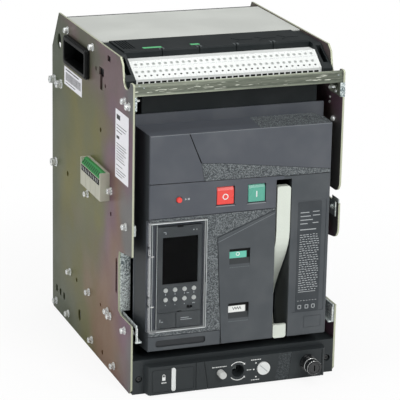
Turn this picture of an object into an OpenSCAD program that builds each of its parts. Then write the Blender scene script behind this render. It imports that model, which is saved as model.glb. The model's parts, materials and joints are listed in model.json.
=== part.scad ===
// Withdrawable three-pole air circuit breaker in its draw-out cradle.
// Millimetres. +Z is up and the front faces -Y. The origin is the middle of
// the cradle's base bolt pattern, on the face that it stands on. Inside the
// modules, depths are measured back from the front edge of the side plates.

/* [Front mask] */
// Width of the mask's front face
mask_w = 243; // [236:1:250]
// Height of the mask
mask_h = 283; // [275:1:292]
// Height of the mask's bottom above the floor
mask_z = 60; // [58:1:66]
// How far the mask stands in front of the side plates
mask_proud = 10; // [8:0.5:12]
// How much each side of the mask widens towards the flange
mask_draft = 5; // [2:0.5:5]
// Distance of the flange behind the front edge of the side plates
flange_y = 33; // [30:1:38]
// Thickness of the flange
flange_t = 3; // [2:0.5:4]
// How far the flange stands out beside the mask's front face
flange_lip = 5.5; // [5:0.5:7]
// How far the flange stands up over the mask
flange_rise = 17; // [12:1:22]
// Width of the seams between the front panels
seam = 0.8; // [0.5:0.1:1.2]
// Thickness of the front panels
panel_t = 3; // [2:0.5:4]

/* [Buttons] */
// Side of the square wells of the two push buttons
well_s = 24.5; // [22:0.5:25]
// Distance of each well's centre from the middle plane
well_x = 21; // [19:0.5:22]
// Clearance round a push button
button_gap = 0.8; // [0.5:0.1:1.2]
// Radius of the reset button
reset_r = 3.5; // [3:0.1:5]
// Distance of the reset button left of the middle plane
reset_x = 83; // [80:0.5:85]

/* [Charging handle] */
// Width of the handle
handle_w = 18; // [15:0.5:19]
// Clearance on each side of the handle
handle_gap = 1.5; // [1:0.1:2]
// Distance of the handle's middle right of the middle plane
handle_x = 58; // [57:0.5:60]
// Length from the pivot to the top of the handle
handle_l = 196.5; // [188:0.5:200]
// Thickness of the handle's arm
handle_t = 9; // [7:0.5:11]
// How far the arm dips behind the grip
handle_dip = 51; // [44:1:52]
// Radius of the pivot pin
handle_pin_r = 3; // [2:0.1:4]

/* [Trip unit] */
// Width of the trip unit's clear cover
cover_w = 75; // [73:0.5:76]
// Height of the clear cover
cover_h = 145; // [142:0.5:147]
// Wall of the clear cover
cover_t = 1.6; // [1.2:0.1:2]
// Depth of the clear cover's shell
cover_deep = 9; // [8:0.5:10]
// Width of the display
display_w = 47; // [44:0.5:48]
// Height of the display
display_h = 62; // [58:0.5:63]
// Radius of a key
key_r = 2.8; // [2.2:0.1:3.2]
// Pitch of the keys
key_pitch = 12.6; // [12:0.1:13]

/* [Breaker housing] */
// How much narrower the housing is than the mask, at each side
body_inset = 3.5; // [2:0.5:5]
// Height of the housing over the flange
body_rise = 25; // [20:1:30]
// Depth of the housing behind the flange
body_d = 232; // [225:1:240]
// Pitch of the three poles
pole_pitch = 70; // [66:1:72]
// Width of a breaker foot along the rail
foot_l = 50; // [40:1:60]

/* [Cradle] */
// Thickness of the side plates
plate_t = 2.5; // [2:0.1:3]
// Space between the flange and each side plate
side_gap = 11.5; // [10:0.5:13]
// Space between the housing's top and the crossbar
pass_gap = 6.5; // [5:0.5:8]
// Height of the crossbar's front face
bar_h = 15; // [12:0.5:18]
// Depth of the crossbar
bar_d = 26; // [20:1:30]
// Thickness of the crossbar's sheet
bar_t = 2; // [1.5:0.1:3]
// Height of the plates over the crossbar
head_h = 23.5; // [22:0.5:27]
// Depth of the rear base
rear_t = 32; // [28:1:38]
// Depth of the plates behind the rear base
tail_d = 33; // [28:1:40]
// Length of the sloping corner at the rear top, along the top
rear_corner_d = 32; // [24:1:40]
// Height of the sloping corner at the rear top
rear_corner_h = 52; // [42:1:60]
// Set-back of the top edge behind the front edge
top_set_back = 53; // [50:1:58]
// Thickness of the base sheet
base_t = 3; // [2.5:0.1:4]
// Height of the base sheet's folded edges
base_fold_h = 22; // [15:1:28]

/* [Base bolts] */
// Distance between base bolts across the width
bolt_pitch_x = 230; // [200:1:240]
// Distance between base bolts along the depth
bolt_pitch_y = 160; // [120:1:190]
// Radius of a base bolt hole
bolt_hole_r = 4.5; // [3:0.1:6]

/* [Plate openings] */
// Distance of the rail notch over the floor
notch_z = 93; // [88:1:96]
// Height of the rail notch
notch_h = 92; // [80:1:96]
// Depth of the rail notch
notch_d = 55; // [45:1:60]
// Height of the slot over the rail notch of the right plate
lobe_slot_h = 15; // [12:1:18]
// Height of the lobe between the right plate's notch and slot
lobe_h = 46; // [40:1:50]
// Length of the carrying hole
grip_l = 90; // [80:1:94]
// Height of the carrying hole
grip_h = 27; // [24:1:30]
// Width of the rim round a carrying hole
grip_rim = 6.5; // [5:0.5:8]
// Wall of the collar that lines a carrying hole
collar_t = 2; // [1.5:0.1:3]
// How far the rim stands out from the plate
grip_proud = 6.5; // [3:0.5:9]

/* [Draw-out rails] */
// Height of the rails' underside
rail_z = 71; // [68:1:73]
// Height of a rail
rail_h = 24; // [20:0.5:26]
// Width of a rail's shelf
rail_w = 8; // [6:0.5:9]
// Thickness of the rails and of their brackets
rail_t = 2; // [1.5:0.1:2.5]
// Sliding gap beside a rail
rail_gap = 0.5; // [0.3:0.1:1]

/* [Racking unit] */
// How much narrower the front is than the mask, at each side
sill_inset = 0.5; // [0:0.5:2]
// Height of the front
sill_h = 38; // [36:0.5:39]
// How far the front stands in front of the side plates
sill_proud = 14; // [12:0.5:16]
// Space between the racking unit and the mask
sill_gap = 14; // [12:0.5:16]
// Depth of the racking unit behind the front edge
sill_d = 60; // [50:1:70]
// Height of the row of controls
control_z = 22; // [20:0.5:23]
// Radius of the crank socket
socket_r = 8.5; // [7:0.1:9]
// Depth of the crank socket
socket_l = 16; // [12:1:20]
// Radius of the racking screw's end
screw_r = 5; // [4:0.1:6]
// Radius of the release button
release_r = 4.8; // [4:0.1:6]
// Radius of the position dial
dial_r = 8.7; // [7:0.1:9]
// Radius of the key lock's head
lock_r = 9.8; // [8.5:0.1:10]
// Length of the key lock
lock_l = 24; // [18:1:28]
// Width of the padlock bar
bar_lock_w = 5.5; // [5:0.5:8]

/* [Connections] */
// Width of a main terminal
terminal_w = 50; // [42:1:54]
// Thickness of a main terminal
terminal_t = 10; // [8:0.5:12]
// How far a main terminal stands out at the back
terminal_l = 60; // [50:1:70]
// Radius of the holes in a main terminal
terminal_hole_r = 5.5; // [4:0.1:6.5]
// Pitch of the two holes in a main terminal
terminal_pitch = 25; // [22:0.5:26]
// Height of the lower row of main terminals
lower_z = 115; // [105:1:125]
// Height between the two rows of main terminals
row_gap = 150; // [140:1:160]
// Width of a stab inside the cradle
stab_w = 34; // [30:1:40]
// Length of a stab inside the cradle
stab_l = 14; // [10:1:16]
// Pitch of the secondary terminals
wire_pitch = 7.9; // [7.6:0.1:8]
// Number of secondary terminals in a row
wire_count = 31; // [24:1:31]
// Radius of a wire entry
wire_r = 2.2; // [1.4:0.1:2.4]
// Depth of a wire entry
wire_deep = 6; // [4:0.5:8]
// Slope of the secondary terminals' face
strip_tilt = 36; // [30:1:40]

/* [Hidden] */
$fn = 48;
// A little extra so that cuts pass right through a face
eps = 0.5;
// Gap between two pieces that only just don't touch
fit = 0.3;

// Heights and widths, from the breaker outwards
mask_top = mask_z + mask_h;
mask_x = mask_w / 2;
front_y = -mask_proud;
flange_x = mask_x + flange_lip;
flange_top = mask_top + flange_rise;
body_x = mask_x - body_inset;
body_bottom = mask_z - 7;
body_top = flange_top + body_rise;
body_front = flange_y + flange_t;
body_back = body_front + body_d;
inner_x = flange_x + side_gap;
cradle_x = inner_x + plate_t;
bar_z = body_top + pass_gap;
cradle_h = bar_z + bar_h + head_h;
rear_y = body_back + stab_l + 8;
rear_back = rear_y + rear_t;
cradle_d = rear_back + tail_d;
upper_z = lower_z + row_gap;

// Panels of the mask, measured from its bottom and its sides
band_z = mask_top - 64;
band_low = mask_top - 108;
logo_right = -mask_x + 51;
slant_x = -mask_x + 68;
slant_z = mask_top - 40;
button_z = (band_z + band_low) / 2 + 1.6;
slot_w = handle_w + 2 * handle_gap;
slot_left = handle_x - slot_w / 2;
slot_right = handle_x + slot_w / 2;
slot_back = flange_y + 29;
handle_z = mask_z + 8;
handle_y = front_y + 11;
slot_top = handle_z + handle_l + 9;
indicator_left = -31;
lower_right = -24;
lower_top = mask_z + 20;

// Trip unit and its clear cover
cover_x = 0.5 - mask_x;
cover_z = mask_z + 26;
cover_top = cover_z + cover_h;
cover_front = front_y - 3;
cover_back = cover_front + cover_deep;
hinge_x = cover_x + 2;
hinge_y = cover_back - 1;
hinge_r = 2;
hinge_z = [cover_z + 40, cover_top - 39];
knuckle_l = 8;
unit_x = cover_x + 11;
unit_w = cover_w - 16;
unit_z = cover_z + cover_t + 2;
unit_h = cover_top - 7 - unit_z;
unit_front = front_y + 1.5;
unit_back = 20;
display_x = unit_x + (unit_w - display_w) / 2 + 1;
display_z = unit_z + unit_h - 14 - display_h;
key_z = display_z - 8;
flap_z = unit_z + 20;

// Cradle
front_edge_h = bar_z + bar_h + 0.5;
notch_top = notch_z + notch_h;
slot_z = notch_top + lobe_h;
lobe_low = notch_top - 2.5;
grip_z = cradle_h - 27 - grip_h;
grip_y = cradle_d - 78 - grip_l;
cover_y = cradle_d - 208;
carrier_y = cover_y - 64;
carrier_h = 11;
carrier_x = flange_x - 1.5;
rail_x = inner_x - rail_t - rail_gap;
rail_front = -4;
rail_back = rear_y - 3;
sill_front = -sill_proud;
sill_x = mask_x - sill_inset;
sill_z = 2;
wing_h = mask_z - sill_gap;
release_x = -24;
dial_x = 35;
lock_x = 97;
lock_z = control_z + 1;
bar_lock_x = -88;
strip_back = [carrier_y, cradle_h - 10];
wire_row_1 = [60, cradle_h - 13];
wire_row_2 = on_slope(wire_row_1, 12.3, 0);

// Places a piece drawn from the front edge of the side plates
module from_front() {
    translate([0, -cradle_d / 2, 0]) children();
}

// Extrudes a (depth, height) outline across the width, from x0 to x1
module along_x(x0, x1) {
    translate([x0, 0, 0]) rotate([90, 0, 90]) linear_extrude(x1 - x0) children();
}

// Extrudes a (width, height) outline back, from depth y0 to y1
module along_y(y0, y1) {
    translate([0, y1, 0]) rotate([90, 0, 0]) linear_extrude(y1 - y0) children();
}

// Box given by its two corners
module block(low, high) {
    translate(low) cube(high - low);
}

// Flat rectangle given by its two corners
module area(low, high) {
    translate(low) square(high - low);
}

// Rectangle with round corners given by its two corners
module round_area(low, high, r) {
    area(low + [r, 0], high - [r, 0]);
    area(low + [0, r], high - [0, r]);
    for (x = [low.x + r, high.x - r], y = [low.y + r, high.y - r])
        translate([x, y]) circle(r);
}

// Cylinder whose axis runs back, from depth y0 to y1
module pin_y(x, z, r, y0, y1) {
    translate([x, y1, z]) rotate([90, 0, 0]) cylinder(r = r, h = y1 - y0);
}

// Cylinder whose axis runs across, from x0 to x1
module pin_x(y, z, r, x0, x1) {
    translate([x0, y, z]) rotate([0, 90, 0]) cylinder(r = r, h = x1 - x0);
}

// Draws a right-hand piece on the side s: -1 is left, 1 is right
module on_side(s) {
    mirror([s < 0 ? 1 : 0, 0, 0]) children();
}

// ---- Cradle ----

// Notch in the front edge that gives a way to the rail
module rail_notch() {
    polygon([[-eps, notch_z], [notch_d - 12, notch_z], [notch_d - 1, notch_z + 4],
        [notch_d, notch_top - 22], [notch_d - 3, notch_top - 8], [-eps, notch_top]]);
}

// Outline of a carrying hole, grown by g
module grip_area(g) {
    round_area([grip_y - g, grip_z - g], [grip_y + grip_l + g, grip_z + grip_h + g], 3 + g / 2);
}

// Small openings that every side plate has
module plate_holes() {
    grip_area(collar_t + fit);
    // Keyhole and square holes behind the crossbar
    area([cover_y - 27.5, bar_z - 3.5], [cover_y - 8, bar_z + 7]);
    area([cover_y - 22, bar_z - 22], [cover_y - 12, bar_z - 3]);
    area([carrier_y + 9, cradle_h - 16], [carrier_y + 21, cradle_h - 9]);
    translate([cover_y + 6, bar_z + 1]) circle(3.2);
    translate([cover_y - 34, bar_z - 13]) circle(2.8);
    translate([cover_y - 15, bar_z - 75.5]) circle(3.2);
    // Long slot behind the notch
    round_area([notch_d + 4, notch_z + 24], [notch_d + 10, notch_top - 20], 2.9);
    // Row of three slots and a wider one near the foot of the plate
    for (i = [0 : 2])
        round_area([cradle_d - 61 + 18 * i, 27], [cradle_d - 53 + 18 * i, 37], 2);
    round_area([cradle_d - 136, 22], [cradle_d - 126, 38], 4.9);
    translate([cradle_d - 235, 14]) circle(3.5);
    translate([cradle_d - 74, lower_z + 100]) circle(4);
    translate([cradle_d - 268, lower_z + 101]) circle(3);
    translate([cradle_d - 117, notch_z - 17]) circle(3.5);
    translate([cradle_d - 226, notch_z - 15]) circle(2.5);
    // Oblong hole beside the rim of the carrying hole
    round_area([cradle_d - 42, cradle_h - 49], [cradle_d - 26, cradle_h - 28], 7.9);
}

module plate_outline() {
    difference() {
        union() {
            polygon([[0, 6], [6, 0], [cradle_d - 4, 0], [cradle_d, 4],
                [cradle_d, cradle_h - rear_corner_h], [cradle_d - rear_corner_d, cradle_h],
                [top_set_back, cradle_h], [top_set_back - 9, cradle_h - 8],
                [top_set_back - 13, front_edge_h - 2], [top_set_back - 18, front_edge_h - 7],
                [0, front_edge_h - 7]]);
            // Nose that carries the end of the crossbar
            round_area([0, front_edge_h - 30], [13, front_edge_h], 3);
        }
        // Round hollow between the nose and the top
        translate([top_set_back - 26, front_edge_h + 1]) circle(13.5);
        rail_notch();
        plate_holes();
    }
}

// Side plate for the right; the left one is its mirror image
module side_plate(slotted) {
    difference() {
        along_x(inner_x, cradle_x) plate_outline();
        if (slotted) {
            // Slot that leaves a round-ended lobe over the rail notch
            block([inner_x - 10, -eps, slot_z], [cradle_x + eps, notch_d - 14, slot_z + lobe_slot_h]);
            along_x(inner_x - 10, cradle_x + eps) {
                corner_cut([0, slot_z + lobe_slot_h], 14);
                corner_cut([0, lobe_low], 16);
            }
        }
    }
}

// Cuts the corner between a front edge and a lower edge to the radius r
module corner_cut(corner, r) {
    difference() {
        translate(corner - [eps, eps]) square(r + eps);
        translate(corner + [r, r]) circle(r);
    }
}

module left_side_plate() {
    color("#6e6c58") from_front() on_side(-1) side_plate(false);
}

module right_side_plate() {
    color("#6e6c58") from_front() on_side(1) side_plate(true);
}

// Folded base sheet with its four bolt holes
module base_plate() {
    color("#8d918a") difference() {
        from_front() along_y(sill_d, cradle_d - 2) {
            area([-inner_x, 0], [inner_x, base_t]);
            for (x = [-inner_x, inner_x - base_t]) area([x, 0], [x + base_t, base_fold_h]);
        }
        for (x = [-1, 1], y = [-1, 1])
            translate([x * bolt_pitch_x / 2, y * bolt_pitch_y / 2, -eps])
                cylinder(r = bolt_hole_r, h = base_t + 2 * eps);
    }
}

// Channel that ties the plates together over the breaker
module front_crossbar() {
    color("#9ba398") from_front() {
        along_x(-inner_x, inner_x)
            polygon([[1, bar_z], [bar_d, bar_z], [bar_d, bar_z + bar_t], [3 + bar_t, bar_z + bar_t],
                [3 + bar_t, bar_z + bar_h], [3, bar_z + bar_h], [1, bar_z + 3]]);
        // Ears that are screwed to the plates
        for (s = [-1, 1]) on_side(s)
            union() {
                block([inner_x - bar_t, 1, bar_z - 19], [inner_x, bar_d + 12, bar_z]);
                block([inner_x - 3, 1, bar_z - 19], [inner_x, 1 + bar_t, bar_z]);
            }
    }
}

// Sheet roof with its front and rear edges turned down
module top_cover() {
    color("#c9ccc8") from_front() along_x(-inner_x, inner_x)
        polygon([[cover_y, cradle_h - 9], [cover_y, cradle_h - 1.5], [rear_y + 8, cradle_h - 1.5],
            [rear_y + 8, cradle_h - 6], [rear_y + 6.5, cradle_h - 6], [rear_y + 6.5, cradle_h - 3],
            [cover_y + 1.5, cradle_h - 3], [cover_y + 1.5, cradle_h - 9]]);
}

// Insulating base with a wall between neighbouring poles
module rear_base() {
    wall = 3;
    low = base_fold_h + 4;
    high = cradle_h - 6;
    color("#2b2e30") from_front() difference() {
        union() {
            block([-inner_x, rear_y, low], [inner_x, rear_back, high]);
            for (x = [-1.5, -0.5, 0.5, 1.5])
                block([x * pole_pitch - wall / 2, rear_back - eps, low + 20],
                    [x * pole_pitch + wall / 2, rear_back + tail_d - 6, high - 40]);
            // Collars round the terminals
            for (i = [-1, 0, 1], z = [lower_z, upper_z])
                block([i * pole_pitch - terminal_w / 2 - 5, rear_back - eps, z - terminal_t / 2 - 6],
                    [i * pole_pitch + terminal_w / 2 + 5, rear_back + 6, z + terminal_t / 2 + 6]);
        }
        for (i = [-1, 0, 1], z = [lower_z, upper_z])
            block([i * pole_pitch - terminal_w / 2, rear_y - eps, z - terminal_t / 2],
                [i * pole_pitch + terminal_w / 2, rear_back + 6 + eps, z + terminal_t / 2]);
        // Panels thinned between the ribs
        for (i = [-1, 0, 1])
            block([i * pole_pitch - 25, rear_back - 8, upper_z + 30],
                [i * pole_pitch + 25, rear_back + eps, high - 50]);
    }
}

// One row of three main terminals, each a bar that ends in a stab inside
module terminal_row(z) {
    low = z - terminal_t / 2;
    high = z + terminal_t / 2;
    for (i = [-1, 0, 1])
        difference() {
            union() {
                block([i * pole_pitch - terminal_w / 2, rear_y, low],
                    [i * pole_pitch + terminal_w / 2, rear_back + terminal_l, high]);
                along_x(i * pole_pitch - stab_w / 2, i * pole_pitch + stab_w / 2)
                    polygon([[rear_y + eps, low], [rear_y + eps, high], [rear_y - stab_l + 3, high],
                        [rear_y - stab_l, high - 3], [rear_y - stab_l, low + 3], [rear_y - stab_l + 3, low]]);
            }
            for (s = [-1, 1])
                translate([i * pole_pitch + s * terminal_pitch / 2, rear_back + terminal_l - 14, low - eps])
                    cylinder(r = terminal_hole_r, h = terminal_t + 2 * eps);
        }
}

module upper_terminals() {
    color("#b9bcbd") from_front() terminal_row(upper_z);
}

module lower_terminals() {
    color("#b9bcbd") from_front() terminal_row(lower_z);
}

// Moulded carrier in five sections that holds the secondary terminals
module terminal_carrier() {
    section = 2 * carrier_x / 5;
    top = cradle_h - 1;
    color("#1d2123") from_front() difference() {
        along_x(-carrier_x, carrier_x)
            polygon([[carrier_y, top - carrier_h], [cover_y - fit, top - carrier_h],
                [cover_y - fit, top], [carrier_y + 2, top], [carrier_y, top - 2]]);
        for (i = [1 : 4])
            block([-carrier_x + i * section - seam / 2, carrier_y - eps, top - carrier_h - eps],
                [-carrier_x + i * section + seam / 2, carrier_y + 12, top + eps]);
        // Ribbed marker groove at the left
        for (i = [0 : 4])
            block([-carrier_x + 4 + 3.5 * i, carrier_y + 14, top - 1.5],
                [-carrier_x + 5.5 + 3.5 * i, cover_y - 4, top + eps]);
    }
}

// Cheeks that hold the ends of the carrier and of the terminals
module terminal_brackets() {
    color("#1d2123") from_front() for (s = [-1, 1]) on_side(s)
        difference() {
            along_x(carrier_x + fit, inner_x)
                polygon([[34, bar_z + 3], [cover_y - fit, bar_z + 3], [cover_y - fit, cradle_h - 3],
                    [carrier_y - 8, cradle_h - 3], [carrier_y - 22, cradle_h - 12], [34, cradle_h - 27]]);
            block([carrier_x + 4, 44, bar_z + 8], [inner_x - 3, carrier_y - 12, cradle_h]);
        }
}

// Point on the slope of the secondary terminals, at the offset (along, above)
function on_slope(p, along, above) = [
    p.x - along * cos(strip_tilt) - above * sin(strip_tilt),
    p.y - along * sin(strip_tilt) + above * cos(strip_tilt)];

// Row of round entries square to the slope, with mouths on the face through p
module wire_row(p, r, deep, shift) {
    for (i = [0 : wire_count - 1])
        translate([(i - (wire_count - 1) / 2) * wire_pitch + shift, p.x, p.y])
            rotate([strip_tilt, 0, 0]) translate([0, 0, -deep]) cylinder(r = r, h = deep + 4);
}

// Sloping strip of secondary terminals
module secondary_terminals() {
    low = bar_z + 3;
    foot = on_slope(wire_row_2, 12, 0);
    color("#f4f6f5") from_front() difference() {
        along_x(-carrier_x, carrier_x)
            polygon([[foot.x, low], [strip_back.x - fit, low], [strip_back.x - fit, strip_back.y],
                [strip_back.x - 10, strip_back.y], on_slope(wire_row_1, -6, 0), foot]);
        wire_row(wire_row_1, wire_r, wire_deep, 0);
        wire_row(wire_row_2, wire_r, wire_deep, -wire_pitch / 4);
        // Small release holes in front of the lower row
        wire_row(on_slope(wire_row_2, 6.5, 0), 0.6 * wire_r, wire_deep / 2, 0);
        // Slots of the release levers along the foot
        for (i = [0 : wire_count - 1])
            translate([(i - (wire_count - 1) / 2) * wire_pitch - 3, foot.x - 1, low])
                cube([6, 9.5, foot.y - low - 5]);
    }
}

// Angle screwed to the plate that carries a draw-out rail, with a front flange
module guide_bracket() {
    front = notch_d - 4;
    block([inner_x - rail_t, front, rail_z - 3], [inner_x, rail_back, rail_z + rail_h + 3]);
    block([inner_x - rail_t, front, notch_z + 2], [inner_x, front + 14, notch_top - 4]);
    along_y(front, front + rail_t)
        polygon([[inner_x, notch_z + 3], [inner_x - 13, notch_z + 3],
            [inner_x - 13, notch_top - 15], [inner_x, notch_top - 4]]);
}

module left_guide_bracket() {
    color("#a9b0ad") from_front() on_side(-1) guide_bracket();
}

module right_guide_bracket() {
    color("#a9b0ad") from_front() on_side(1) guide_bracket();
}

// Draw-out rail: an angle whose shelf carries the breaker's feet
module guide_rail() {
    along_y(rail_front, rail_back)
        polygon([[rail_x - rail_w, rail_z], [rail_x, rail_z], [rail_x, rail_z + rail_h],
            [rail_x - rail_t, rail_z + rail_h], [rail_x - rail_t, rail_z + rail_t],
            [rail_x - rail_w, rail_z + rail_t]]);
}

module left_guide_rail() {
    color("#c4c9b6") from_front() on_side(-1) guide_rail();
}

module right_guide_rail() {
    color("#c4c9b6") from_front() on_side(1) guide_rail();
}

// Moulded rim that lines a carrying hole: a stepped flange and a collar
// that runs in through the plate
module grip_rim_ring() {
    difference() {
        union() {
            along_x(cradle_x, cradle_x + grip_proud - 1.5) grip_area(grip_rim);
            along_x(cradle_x, cradle_x + grip_proud) grip_area(grip_rim - 1.5);
            along_x(inner_x - 6, cradle_x + eps) grip_area(collar_t);
        }
        along_x(inner_x - 6 - eps, cradle_x + grip_proud + eps) grip_area(0);
    }
}

module left_grip_rim() {
    color("#17191b") from_front() on_side(-1) grip_rim_ring();
}

module right_grip_rim() {
    color("#17191b") from_front() on_side(1) grip_rim_ring();
}

// Block of position contacts on the left plate, with a cheek at each end
contacts_z = lower_z + 117;
contacts_h = 37;
contacts_y = [92, 178];
contacts_t = 13;
contacts_x = -cradle_x - contacts_t;
cheek_t = 3;
plug_z = contacts_z + 29;
plug_x = -cradle_x - 4;
module position_contacts() {
    top = contacts_z + contacts_h;
    color("#c4c4b4") from_front() difference() {
        block([contacts_x, contacts_y[0], contacts_z], [-cradle_x, contacts_y[1], top]);
        // Seat of the plug between the cheeks
        block([contacts_x - eps, contacts_y[0] + cheek_t, plug_z],
            [plug_x + fit, contacts_y[1] - cheek_t, top + eps]);
        for (i = [1 : 3])
            block([contacts_x - eps, contacts_y[0] + 21.5 * i - 0.5, contacts_z - eps],
                [contacts_x + 1.5, contacts_y[0] + 21.5 * i + 0.5, contacts_z + 18]);
    }
}

// Plug whose outer face slopes
module position_contact_plug() {
    color("#43a35b") from_front() along_y(contacts_y[0] + cheek_t + fit, contacts_y[1] - cheek_t - fit)
        polygon([[contacts_x, plug_z + fit], [plug_x, plug_z + fit], [plug_x, contacts_z + contacts_h],
            [-cradle_x - 7.4, contacts_z + contacts_h]]);
}

// ---- Racking unit ----

module racking_unit() {
    groove = 1;
    top = sill_z + sill_h;
    color("#33393a") from_front() difference() {
        union() {
            block([-inner_x, 0, 0], [inner_x, sill_d, wing_h]);
            // Front that stands out, with sloping ends
            translate([0, 0, sill_z]) linear_extrude(sill_h)
                polygon([[-sill_x, sill_front + 2], [2 - sill_x, sill_front], [sill_x - 2, sill_front],
                    [sill_x, sill_front + 2], [sill_x + 3, eps], [-sill_x - 3, eps]]);
        }
        pin_y(0, control_z, socket_r, sill_front - eps, sill_front + socket_l);
        pin_y(0, control_z, screw_r + 1, sill_front, sill_front + socket_l + 20);
        pin_y(release_x, control_z, release_r + 0.5, sill_front - eps, sill_front + 25);
        pin_y(dial_x, control_z, dial_r + 0.5, sill_front - eps, sill_front + 3);
        along_y(sill_front - eps, sill_front + 30) lock_bar_area(0.5);
        // Outline of the inset face at the left
        along_y(sill_front - eps, sill_front + 0.6) difference() {
            round_area([-117, sill_z + 3], [-60, top - 4], 3);
            round_area([-116.2, sill_z + 3.8], [-60.8, top - 4.8], 2.2);
        }
        // Grooves between the sections of the front
        block([-58, sill_front - eps, 0], [-58 + groove, sill_front + groove, top + eps]);
        along_y(sill_front - eps, sill_front + groove)
            polygon([[-47, top + eps], [-46, top + eps], [-40, 0], [-41, 0]]);
        block([lock_x + 19, sill_front - eps, 0], [lock_x + 20.5, sill_front + groove, top - 2]);
        // Slanted band with a sunk, grained face
        along_y(sill_front - eps, sill_front + 0.6)
            polygon([[57, top - 1], [75, top - 1], [70, sill_z + 1], [52, sill_z + 1]]);
        // Screw wells in the wings
        for (s = [-1, 1]) pin_y(s * (sill_x + 9), control_z - 2, 4.5, -eps, 5);
    }
}

// Square end of the racking screw at the bottom of the crank socket
module racking_screw() {
    color("#a9b0ad") from_front() {
        pin_y(0, control_z, screw_r, sill_front + socket_l + 4, sill_front + socket_l + 20);
        along_y(sill_front + socket_l, sill_front + socket_l + 4 + eps)
            translate([0, control_z]) square(1.3 * screw_r, center = true);
    }
}

// Front of the padlock bar, grown by g
module lock_bar_area(g) {
    half = bar_lock_w / 2 + g;
    round_area([bar_lock_x - half, sill_z + 3.5 - g], [bar_lock_x + half, sill_z + 34.5 + g], half - 0.1);
}

module padlock_slide() {
    color("#f0f1ee") from_front() difference() {
        along_y(sill_front - 1, sill_front + 29.5) lock_bar_area(0);
        // Padlock hole, clear of the front once the bar is pulled out
        pin_x(sill_front + 9, control_z, 4, bar_lock_x - bar_lock_w, bar_lock_x + bar_lock_w);
    }
}

module release_button() {
    color("#d7d9d6") from_front() {
        pin_y(release_x, control_z, release_r, sill_front - 10, sill_front + 20);
        pin_y(release_x, control_z, release_r - 0.8, sill_front - 11, sill_front - 9.5);
    }
}

// Position indicator with a pointer groove
module position_dial() {
    color("#f0f1ee") from_front() difference() {
        pin_y(dial_x, control_z, dial_r, sill_front - 2, sill_front + 3 - fit);
        translate([dial_x, sill_front - 2, control_z]) rotate([0, 45, 0])
            block([-dial_r - 1, -eps, -0.6], [dial_r - 1, 1, 0.6]);
    }
}

module key_lock_body() {
    front = sill_front - lock_l;
    color("#15181a") from_front() difference() {
        union() {
            pin_y(lock_x, lock_z, lock_r + 1.2, sill_front - 2.5, sill_front);
            pin_y(lock_x, lock_z, lock_r - 1.2, front, sill_front);
            pin_y(lock_x, lock_z, lock_r, front + 0.8, front + 12);
        }
        pin_y(lock_x, lock_z, lock_r - 2.8, front - eps, sill_front - 2);
    }
}

// Barrel that the key turns, with its keyway
module key_lock_barrel() {
    front = sill_front - lock_l;
    color("#2a2d2f") from_front() difference() {
        pin_y(lock_x, lock_z, lock_r - 3.1, front + 0.5, sill_front - 2 - fit);
        block([lock_x - 0.8, front, lock_z - 4], [lock_x + 0.8, front + 5, lock_z + 4]);
    }
}

// ---- Breaker ----

module breaker_housing() {
    foot_low = rail_z + rail_t + fit;
    color("#16191c") from_front() difference() {
        union() {
            block([-body_x, body_front, body_bottom], [body_x, body_back, body_top]);
            // Feet that ride on the shelves of the draw-out rails
            for (y = [body_front + 24, body_back - foot_l - 18], s = [-1, 1]) on_side(s)
                block([body_x - eps, y, foot_low], [rail_x - rail_t - 1, y + foot_l, foot_low + 12]);
            // Ribs along the sides
            for (z = [body_bottom + 70 : 45 : body_top - 40], s = [-1, 1]) on_side(s)
                block([body_x - eps, body_front + 15, z], [body_x + 2, body_back - 10, z + 4]);
        }
        block([slot_left, body_front - eps, body_bottom - eps], [slot_right, slot_back, slot_top]);
        // Gaps between the arc chutes of the poles
        for (x = [-0.5, 0.5])
            block([x * pole_pitch - 1.5, body_front + 60, body_top - 12],
                [x * pole_pitch + 1.5, body_back + eps, body_top + eps]);
        // Vent slots of the arc chutes
        for (i = [-1, 0, 1], k = [0 : 4])
            block([i * pole_pitch - 24, body_front + 90 + 24 * k, body_top - 4],
                [i * pole_pitch + 24, body_front + 100 + 24 * k, body_top + eps]);
        // Step along the top behind the front wall
        block([-body_x - eps, body_front + 4, body_top - 6],
            [body_x + eps, body_front + 50, body_top + eps]);
    }
}

// Spring jaws that grip the stabs
module contact_clusters() {
    jaw_w = stab_w + 12;
    jaw_h = terminal_t + 20;
    color("#b87333") from_front()
        for (i = [-1, 0, 1], z = [lower_z, upper_z])
            difference() {
                block([i * pole_pitch - jaw_w / 2, body_back, z - jaw_h / 2],
                    [i * pole_pitch + jaw_w / 2, body_back + stab_l + 4, z + jaw_h / 2]);
                block([i * pole_pitch - stab_w / 2 - 1, rear_y - stab_l - 4, z - terminal_t / 2 - 1],
                    [i * pole_pitch + stab_w / 2 + 1, rear_y, z + terminal_t / 2 + 1]);
                // Gaps between the fingers
                for (k = [-2 : 2])
                    block([i * pole_pitch + 7 * k - 0.6, body_back + 4, z - jaw_h / 2 - eps],
                        [i * pole_pitch + 7 * k + 0.6, rear_y, z + jaw_h / 2 + eps]);
            }
}

module mask_flange() {
    color("#5d6266") from_front()
        along_y(flange_y, body_front) difference() {
            area([-flange_x, mask_z], [flange_x, flange_top]);
            area([slot_left, mask_z - eps], [slot_right, slot_top]);
        }
}

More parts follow.
